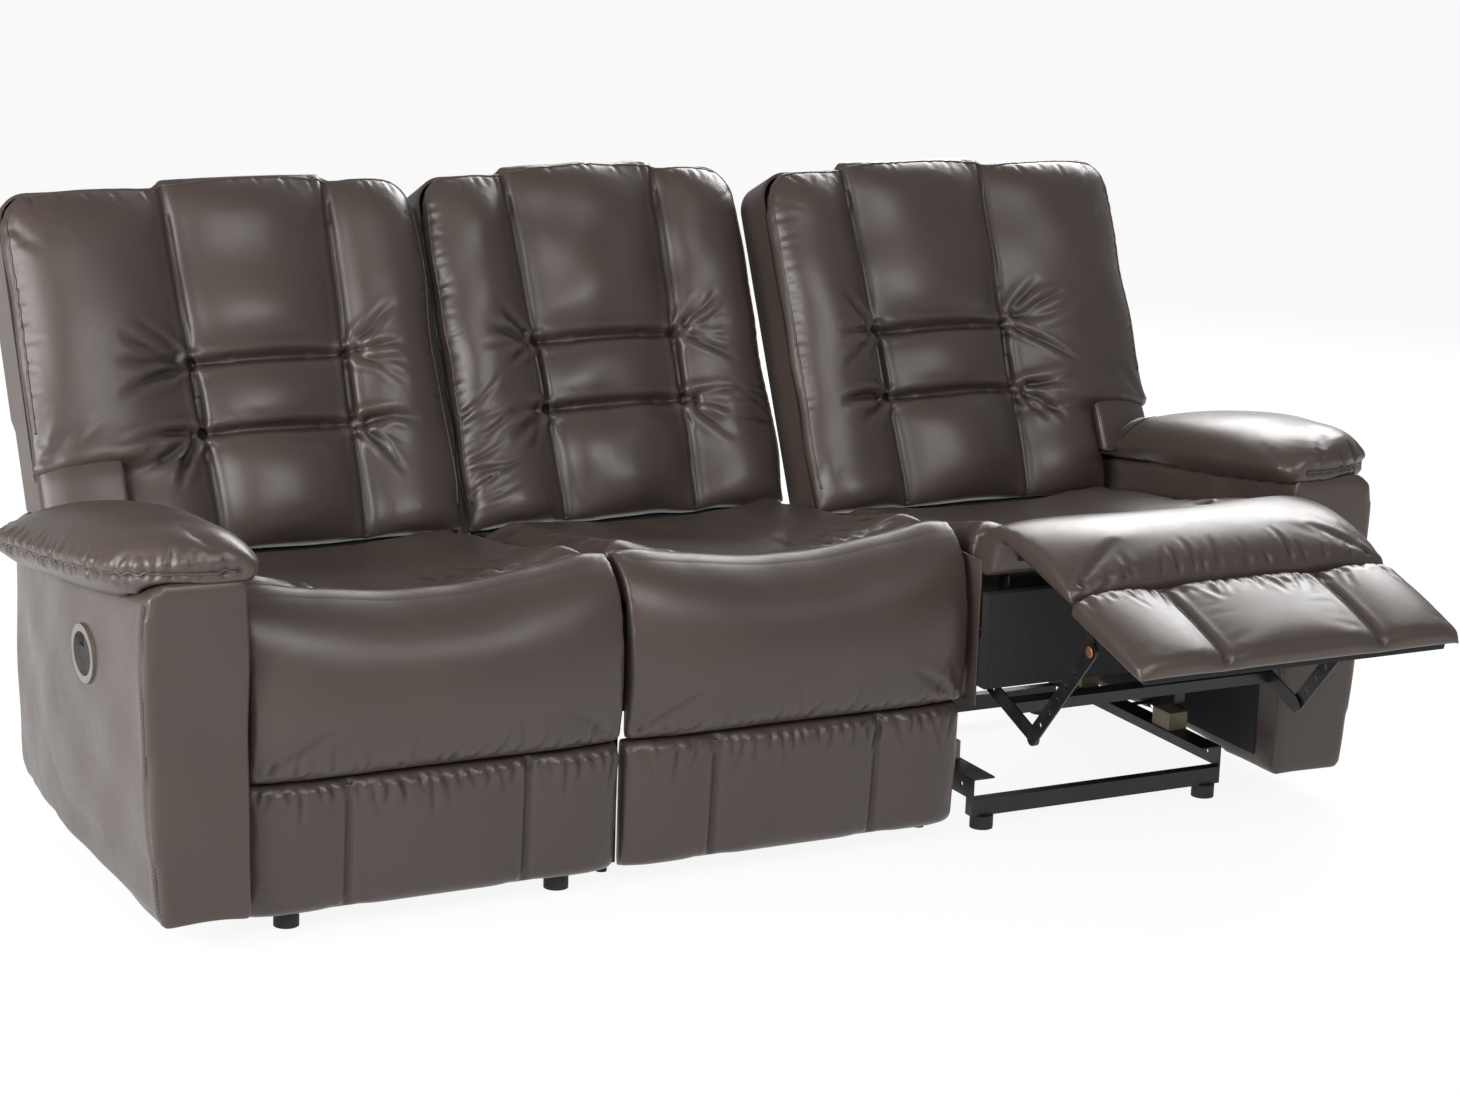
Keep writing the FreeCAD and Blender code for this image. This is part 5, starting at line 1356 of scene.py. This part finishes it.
@dataclass
class WingSkirt:
    """Soft leather that closes the gap between a back's wing and the arm pillow under it."""

    unit: Unit
    across: Pair = (270 * MM, 397 * MM)
    along: Pair = (20 * MM, 178 * MM)
    out: Pair = (-92 * MM, 50 * MM)
    shell_front: float = -12 * MM
    slope: float = 1.2
    sample: Pair = (215 * MM, 200 * MM)
    drop: float = 300 * MM
    tuck: Pair = (1 * MM, 8 * MM)
    tuck_along: Pair = (110 * MM, 165 * MM)
    floor: float = 492 * MM
    clear: float = 1.5 * MM
    above: float = 900 * MM
    cuts: int = 22
    keep: float = 0.12

    def shape(self, points: Points, upholstery: Skin) -> Points:
        """Give the block the wing's own section and the slope of the shell's underside.

        Args:
            points: The block's points in the back's frame.
            upholstery: The back, in the sofa's frame.

        Returns:
            The shaped points.
        """
        back = self.unit.frame_of(Part.BACK)
        inward = back.to_3x3() @ Vector((0, 0, -1))
        low, high = self.out
        foot, head = self.along
        for point in points:
            place = upholstery.hit(back @ Vector((point[0], *self.sample)), inward, self.drop)
            face = (back.inverted() @ place).z if place is not None else self.shell_front
            tuck = self.tuck[0] + self.tuck[1] * float(smoothstep(point[1], *self.tuck_along))
            point[2] = low + (point[2] - low) * (face - tuck - low) / (high - low)
            top = head + self.slope * max(0.0, self.shell_front - point[2])
            point[1] = foot + (point[1] - foot) * (top - foot) / (head - foot)
        return points

    def build(self, upholstery: bpy.types.Object, pillow: bpy.types.Object) -> None:
        """Shape the skirt from a block and let it rest on the pillow.

        Args:
            upholstery: The back, in the sofa's frame.
            pillow: The arm pillow, in the sofa's frame.
        """
        side, back = self.unit.side, self.unit.frame_of(Part.BACK)
        across = sorted(side * reach for reach in self.across)
        piece = block(self.unit.name + "_wing_skirt", across, self.along, self.out)
        bpy.ops.object.mode_set(mode="EDIT")
        bpy.ops.mesh.subdivide(number_cuts=self.cuts)
        bpy.ops.object.mode_set(mode="OBJECT")
        set_points(piece, self.shape(points_of(piece), Skin(upholstery)))
        relax(piece, 5)
        piece.data.transform(back)
        skin = Skin(pillow)
        points = points_of(piece)
        for point in points:
            top = skin.hit((point[0], point[1], self.above), (0, 0, -1))
            point[2] = max(point[2], self.floor if top is None else top.z + self.clear)
        set_points(piece, points)
        relax(piece, 1)
        mark_ridges(piece)
        settle(piece, self.unit.body(Part.BACK), Matrix(), LEATHER)
        upward = back.to_3x3() @ Vector((0, 1, 0))
        anchor = back @ Vector((side * sum(self.across) / 2, self.along[1], 0))
        self.unit.name + "_back_recline"
        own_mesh(piece)


@dataclass
class SeatBand:
    """Leather wrapped round both front corners of a seat box, with a welt at its rear edge."""

    unit: Unit
    half: float = 291.5 * MM
    thickness: float = 1.5 * MM
    reach: Pair = (66 * MM, 176 * MM)
    height: Pair = (236 * MM, 470 * MM)

    def build(self) -> None:
        """Make both bands and their welts."""
        place = self.unit.frame_of(Part.SEAT)
        for side in (-1, 1):
            face = side * self.half
            name = f"{self.unit.name}_{'left' if side < 0 else 'right'}_box_band"
            across = (face - self.thickness, face + self.thickness)
            band = slab(name, across, self.reach, self.height, 0.9 * MM)
            edge = np.array([(face + side * self.thickness, self.reach[1] - 3 * MM, level)
                             for level in np.linspace(*self.height, 5)])
            welt = seam_line(name + "_welt", Skin(band), [edge], 4 * MM, 2 * MM)
            settle(band, self.unit.body(Part.SEAT), place, LEATHER)
            settle(welt, self.unit.body(Part.SEAT), place, LEATHER)


@dataclass(frozen=True)
class Bushes:
    """Copper-coloured bushes and rivet heads on the outer ends of a footrest's pivots."""

    unit: Unit
    radius: float = 9 * MM
    height: float = 3 * MM
    bracket_face: float = 254.6 * MM
    plate_face: float = 250.6 * MM

    def build(self) -> None:
        """Put a bush at both ends of each pivot of the front links and the drive links."""
        for ending, body, half in (("_front_link_swing", "footrest", self.bracket_face),
                                   ("_drive_swing", "seat", self.plate_face)):
            across, back, up = pivot(self.unit.name + ending)
            for side, word in ((-1, "left"), (1, "right")):
                bpy.ops.object.select_all(action="DESELECT")
                bpy.ops.mesh.primitive_cylinder_add(
                    vertices=32, radius=self.radius, depth=self.height,
                    location=(across + side * half, back, up), rotation=(0, math.pi / 2, 0))
                piece = bpy.context.active_object
                piece.name = f"{self.unit.name}{ending}_bush_{word}"
                bpy.ops.object.transform_apply(location=True, rotation=True, scale=True)
                apply_modifier(piece, "BEVEL", width=1.0 * MM, segments=3)
                settle(piece, f"{self.unit.name}_{body}", Matrix(), COPPER)


@dataclass
class Arm:
    """Padded arm: its leather cover and the pillow on it."""

    side: int
    cover_voxel: float = 10 * MM
    pillow_voxel: float = 8 * MM
    front: float = -36 * MM
    rear: float = 742 * MM
    inner: float = 885 * MM
    band: float = 62 * MM
    seam_foot: float = 66 * MM
    seam_top: float = 520 * MM
    away: float = 1400 * MM
    side_stations: tuple[float, ...] = (660, 560, 460, 360, 260, 170, 90, 40, 8)
    front_stations: tuple[float, ...] = (1010, 975, 940, 905)
    belt_front: float = 552 * MM
    belt_fall: float = 97 * MM
    fall_rate: float = 1.18
    belt_front_level: float = 563 * MM
    press: tuple[float, float, float] = (6 * MM, 2.5 * MM, 0.2)
    belt_press: tuple[float, float, float] = (7 * MM, 5 * MM, 0.3)
    gather_step: int = 4
    gather_reach: Pair = (24, 58)
    gather_width: Pair = (3.5, 6)
    gather_depth: Pair = (2.2, 4.4)
    lower_share: float = 0.45

    @property
    def name(self) -> str:
        """Left or right."""
        return "right" if self.side > 0 else "left"

    @property
    def place(self) -> Matrix:
        """The arm's frame: a closed seat's own, so that both arms agree."""
        return Matrix.Translation(LEFT.origin() - Vector((LEFT.origin().x, 0, 0)))

    def put(self, piece: bpy.types.Object, finish: Finish) -> None:
        """Settle one of the arm's pieces."""
        settle(piece, "base", self.place, finish)

    def build_lining(self) -> None:
        """Black cloth over the arm's inner face, behind a leather band."""
        inner = self.side * self.inner
        lining = slab(self.name + "_arm_lining", (inner - 1.2 * MM, inner + 1.2 * MM),
                      (self.front + self.band, self.rear - 14 * MM), (70 * MM, 400 * MM), 0.5 * MM)
        self.put(lining, BLACK_CLOTH_AND_SHADE)

    def held(self, points: Points) -> Points:
        """Firm where the pillow rests on the arm."""
        level = np.interp(points[:, 1], (self.front, self.rear), (556 * MM, 470 * MM))
        return 1 - smoothstep(points[:, 2] - level, 0, 26 * MM)

    def belt(self, skin: Skin) -> Points:
        """The pillow's seam: along its outer side and round its front."""
        line = []
        for station in self.side_stations:
            back = station * MM
            share = min(1, self.fall_rate * (back - self.front) / (self.rear - self.front))
            level = self.belt_front - self.belt_fall * share + (16 if station > 60 else 13) * MM
            line.append(skin.hit((self.side * self.away, back, level), (-self.side, 0, 0)))
        for station in self.front_stations:
            line.append(skin.hit((self.side * station * MM, -0.3, self.belt_front_level), (0, 1, 0)))
        line = [tuple(place) for place in line if place is not None]
        return skin.lay(sampled(line, 6 * MM))[0]

    def build_cover(self) -> None:
        """Leather over the arm's boards."""
        piece = solid_copy(self.name + "_arm_cover", self.name + "_arm_leather", self.place,
                           self.cover_voxel)
        relax(piece, 2)
        split(piece)
        edge = [(self.side * self.away, self.front + 13 * MM, level)
                for level in np.linspace(self.seam_foot, self.seam_top, 12)]
        seam = Skin(piece).lay(sampled(edge, 6 * MM), Vector((-self.side, 0, 0)))[0]
        press_all(piece, [Crease(seam, *self.press, NO_TAPER)])
        mark_ridges(piece)
        skin = Skin(piece)
        self.put(stitching(self.name + "_arm_stitches", skin, [seam]), SEWING)
        self.put(seam_line(self.name + "_arm_seam", skin, [seam]), SEWING)
        soften(piece, 2.0 * MM, 51 + self.side)
        points = points_of(piece)
        points[:, 0] = self.side * np.maximum(self.side * points[:, 0], self.inner + 0.3 * MM)
        set_points(piece, points)
        self.put(piece, LEATHER)
        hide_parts(self.name + "_arm_cover")

    def gathers(self, skin: Skin, seam: Points) -> list[Crease]:
        """The belt seam, and short folds that leave it upward and downward."""
        draw = random.Random(71 + self.side)
        creases = [Crease(seam, *self.belt_press, NO_TAPER)]
        for start in range(3, len(seam) - 3, self.gather_step):
            root = seam[start + draw.randint(-2, 2)]
            reach = draw.uniform(*self.gather_reach) * MM
            slant = draw.uniform(-0.5, 0.15)
            for length in (reach, -self.lower_share * reach):
                line = [root + Vector((0, slant * abs(length) * share, length * share))
                        for share in (0.1, 0.4, 0.7, 1.0)]
                creases.append(Crease(skin.lay(line)[0], draw.uniform(*self.gather_width) * MM,
                                      draw.uniform(*self.gather_depth) * MM))
        return creases

    def build_pillow(self) -> bpy.types.Object:
        """Pillow on the arm, gathered along its seams."""
        piece = solid_copy(self.name + "_arm_pillow", self.name + "_pillow_leather", self.place,
                           self.pillow_voxel)
        relax(piece, 2)
        Stuffing(7 * MM).fill(piece, self.held)
        split(piece)
        skin = Skin(piece)
        seam = self.belt(skin)
        press_all(piece, self.gathers(skin, seam))
        mark_ridges(piece)
        skin = Skin(piece)
        seam = skin.lay(seam)[0]
        self.put(stitching(self.name + "_pillow_stitches", skin, [seam], (4 * MM,)), SEWING)
        self.put(seam_line(self.name + "_pillow_piping", skin, [seam], 4.5 * MM, 3 * MM), LEATHER)
        self.put(piece, LEATHER)
        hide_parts(self.name + "_arm_pillow")
        return piece


# Construction that the frame already holds

@dataclass
class Ironwork:
    """Finishes of the nodes whose CAD shape stays."""

    finishes: tuple[tuple[str, Finish], ...] = (
        ("seat_springs", SPRING), ("side_plates", STEEL), ("pivot_pins", PLATED), ("glides", NYLON),
        ("footrest_brackets", STEEL), ("drive_links", STEEL), ("torque_tube", STEEL), ("front_links", STEEL),
        ("back_brackets", STEEL), ("cross_rails", STEEL), ("side_rails", STEEL), ("connector_bars", STEEL),
        ("feet", BLACK_PLASTIC), ("handle_bezel", BEZEL_PLASTIC), ("handle_lever", BLACK_PLASTIC),
        ("release_cable", SLEEVE), ("seat_box", BLACK_CLOTH_AND_SHADE), ("footrest_boards", BLACK_CLOTH_AND_SHADE),
        # painted shade: the back frame wears the black cloth so that its visible strip reads as a shadow gap
        ("back_frame", BLACK_CLOTH_AND_SHADE), ("arm_frame", PLYWOOD), ("back_panel", LEATHER),
    )

    def dress(self) -> None:
        """Give each shown node its finish."""
        for name, node in frame["nodes"].items():
            for ending, finish in self.finishes:
                if name.endswith(ending):
                    finish.dress(node)


# The studio

@dataclass(frozen=True)
class Lamp:
    """A soft rectangular lamp: its place, what it aims at, its size and its power."""

    name: str
    place: tuple[float, float, float]
    aim: tuple[float, float, float]
    size: Pair
    power: float

    def stand(self) -> None:
        """Put the lamp in the room."""
        data = bpy.data.lights.new(self.name, "AREA")
        data.shape = "RECTANGLE"
        data.size, data.size_y = self.size
        data.energy = self.power
        lamp = bpy.data.objects.new(self.name, data)
        bpy.context.scene.collection.objects.link(lamp)
        lamp.location = self.place
        lamp.rotation_mode = "QUATERNION"
        lamp.rotation_quaternion = (Vector(self.aim) - Vector(self.place)).to_track_quat("-Z", "Y")


# The photograph's light comes from the left, from above and from behind
LAMPS = (
    Lamp("left_softbox", (-3.6, -0.6, 1.5), (-0.9, 0.0, 0.45), (2.4, 1.8), 125),
    Lamp("front_softbox", (-0.4, -3.4, 2.7), (0.0, 0.0, 0.55), (3.2, 1.4), 72),
    Lamp("rear_softbox", (2.6, 2.6, 2.6), (0.3, 0.0, 0.6), (3.0, 1.8), 170),
)


@dataclass
class Studio:
    """Pale floor, soft lamps and the photograph's camera."""

    eye: tuple[float, float, float] = (-2.4224, -4.6404, 1.7758)
    yaw: float = 0.4848
    pitch: float = 0.2708
    roll: float = 0.0331
    focal_px: float = 3439.4
    centre_px: Pair = (742.9, 628.9)
    image: Pair = (1460.0, 1096.0)
    sensor: float = 36.0
    clip: Pair = (0.05, 100.0)
    floor_size: float = 60.0
    floor_tone: float = 0.86
    floor_glow: float = 1.05
    glow_share: float = 0.86
    room_light: float = 0.34

    def camera(self) -> None:
        """Stand the camera where the photograph was taken from."""
        flat = math.cos(self.pitch)
        view = Vector((math.sin(self.yaw) * flat, math.cos(self.yaw) * flat, -math.sin(self.pitch)))
        level = Vector((math.cos(self.yaw), -math.sin(self.yaw), 0))
        above = level.cross(view)
        right = math.cos(self.roll) * level + math.sin(self.roll) * above
        up = -math.sin(self.roll) * level + math.cos(self.roll) * above
        data = bpy.data.cameras.new("camera")
        data.sensor_width = self.sensor
        data.sensor_fit = "HORIZONTAL"
        data.lens = self.focal_px / self.image[0] * data.sensor_width
        data.shift_x = -(self.centre_px[0] - self.image[0] / 2) / self.image[0]
        data.shift_y = (self.centre_px[1] - self.image[1] / 2) / self.image[0]
        data.clip_start, data.clip_end = self.clip
        camera = bpy.data.objects.new("camera", data)
        bpy.context.scene.collection.objects.link(camera)
        turn = Matrix((right, up, -view)).transposed().to_4x4()
        camera.matrix_world = Matrix.Translation(self.eye) @ turn
        bpy.context.scene.camera = camera

    def floor(self) -> None:
        """A pale floor that keeps the sofa's shadow."""
        bpy.ops.object.select_all(action="DESELECT")
        bpy.ops.mesh.primitive_plane_add(size=self.floor_size, location=(0, 0, -0.5 * MM))
        floor = bpy.context.active_object
        floor.name = "studio_floor"
        board = Board("pale_floor")
        path = board.tree.nodes.new("ShaderNodeLightPath")
        seen = Wire(board, path.outputs["Is Camera Ray"])
        glossy = Wire(board, path.outputs["Is Glossy Ray"])
        clear = Wire(board, path.outputs["Is Transmission Ray"])
        share = (seen + glossy + clear).between(0, 1) * self.glow_share
        matt = board.add("ShaderNodeBsdfDiffuse", {}, {"Color": grey(self.floor_tone)})
        glow = board.add("ShaderNodeEmission", {}, {
            "Color": grey(1.0), "Strength": self.floor_glow})
        mixed = board.add("ShaderNodeMixShader", {}, {0: share, 1: matt, 2: glow})
        board.add_output(mixed)
        floor.data.materials.append(board.material)

    def world(self) -> None:
        """A white room, dimmer as a light than it looks."""
        world = bpy.data.worlds.new("white_room")
        world.use_nodes = True
        tree = world.node_tree
        tree.nodes.clear()
        path = tree.nodes.new("ShaderNodeLightPath")
        shine = tree.nodes.new("ShaderNodeMath")
        shine.operation = "ADD"
        tree.links.new(path.outputs["Is Camera Ray"], shine.inputs[0])
        tree.links.new(path.outputs["Is Transmission Ray"], shine.inputs[1])
        strength = tree.nodes.new("ShaderNodeMapRange")
        strength.inputs["To Min"].default_value = self.room_light
        strength.inputs["To Max"].default_value = 1.0
        tree.links.new(shine.outputs[0], strength.inputs["Value"])
        background = tree.nodes.new("ShaderNodeBackground")
        background.inputs["Color"].default_value = grey(1.0)
        tree.links.new(strength.outputs["Result"], background.inputs["Strength"])
        output = tree.nodes.new("ShaderNodeOutputWorld")
        tree.links.new(background.outputs[0], output.inputs["Surface"])
        bpy.context.scene.world = world

    def set_up(self) -> None:
        """Camera, floor and lamps."""
        self.camera()
        self.floor()
        self.world()
        for lamp in LAMPS:
            lamp.stand()
        bpy.context.scene.view_settings.view_transform = "Standard"


# The sofa

def gather(start: Pair, end: Pair, heading: float, count: int, reach: Pair, depth: float,
           width: float = 4) -> Gather:
    """Short folds along a seam, with their sizes in millimetres."""
    places = [tuple(part * MM for part in pair) for pair in (start, end)]
    return Gather(*places, heading, count, tuple(part * MM for part in reach), depth * MM, width * MM)


def corner_fans(side: int, reach: Pair, count: int = 6) -> list[Fan]:
    """Folds that spread from the lumbar roll's corners into one bolster."""
    upper = Fan((129 * MM, 292 * MM), 8, 88, count, reach, 8.0 * MM, 6.5 * MM)
    lower = Fan((127 * MM, 182 * MM), -26, 70, count, reach, 8.0 * MM, 6.5 * MM)
    return [fan if side > 0 else fan.flipped() for fan in (upper, lower)]


def back_folds(unit: Unit) -> Folds:
    """The folds of one back, as the photograph shows them."""
    folds: list[Union[Fan, Gather]] = []
    for side in (-1, 1):
        winged = side == unit.side
        outer = 399 if winged else 289
        folds += corner_fans(side, (60 * MM, 150 * MM) if winged else (55 * MM, 120 * MM))
        edge = gather((outer - 6, 150), (outer - 6, 540), 180, 15, (14, 34), 1.6)
        crown = gather((150, 575), (outer - 40, 575), -90, 5, (16, 40), 2.0)
        folds += [fold if side > 0 else fold.flipped() for fold in (edge, crown)]
    folds.append(gather((-120, 590), (120, 590), -90, 6, (15, 35), 1.8))
    if unit is CENTRE:
        folds.append(gather((-284, 20), (-284, 175), 24, 9, (70, 130), 4))
        folds.append(gather((284, 110), (284, 190), 160, 5, (60, 120), 3.5))
    return folds


SEAT_FOLDS: Folds = (
    gather((-170, 122), (190, 116), 118, 12, (35, 85), 5.2, 6),
    gather((60, 190), (260, 170), 105, 6, (40, 100), 4.4, 7),
    gather((-262, 230), (-240, 520), 15, 6, (40, 90), 3.2, 7),
)
CHAISE_FOLDS: Folds = (gather((-280, 246), (280, 246), 90, 18, (16, 70), 3.0, 5),)
PANEL_FOLDS: Folds = (gather((-285, 226), (285, 226), -90, 28, (20, 72), 3.8, 4.5),)


def build_upholstery() -> None:
    """All the leather pieces; like ones are filled once and copied."""
    backs = {unit: BackCushion(unit, back_folds(unit), seed=11 + index)
             for index, unit in enumerate(UNITS)}
    winged = backs[LEFT].build()
    pieces = {LEFT: winged, CENTRE: backs[CENTRE].build(),
              RIGHT: copy_of(winged, "right_back_upholstery", True)}
    for unit, back in backs.items():
        back.detail(pieces[unit])
    made: dict[tuple[Unit, type], bpy.types.Object] = {}
    for index, (kind, folds) in enumerate(((SeatCushion, SEAT_FOLDS), (ChaisePad, CHAISE_FOLDS),
                                           (LowerPanel, PANEL_FOLDS))):
        makers = [kind(unit, folds, seed=31 + 7 * index + step) for step, unit in enumerate(UNITS)]
        first = makers[0].build()
        copies = [first] + [copy_of(first, first.name.replace("left", unit.name), False)
                            for unit in UNITS[1:]]
        for maker, piece in zip(makers, copies):
            maker.detail(piece)
            made[maker.unit, kind] = piece
    for unit in UNITS:
        Bridge(unit).build(made[unit, SeatCushion], made[unit, ChaisePad])
    for unit in (LEFT, RIGHT):
        arm = Arm(unit.side)
        arm.build_cover()
        arm.build_lining()
        WingSkirt(unit).build(pieces[unit], arm.build_pillow())
        Bushes(unit).build()
    for unit in UNITS:
        SeatBand(unit).build()


def main() -> None:
    """Build the sofa in order and light it."""
    logging.basicConfig(level=logging.INFO, format="%(message)s")
    Studio().set_up()
    Ironwork().dress()
    build_upholstery()


if __name__ == "__main__":
    main()
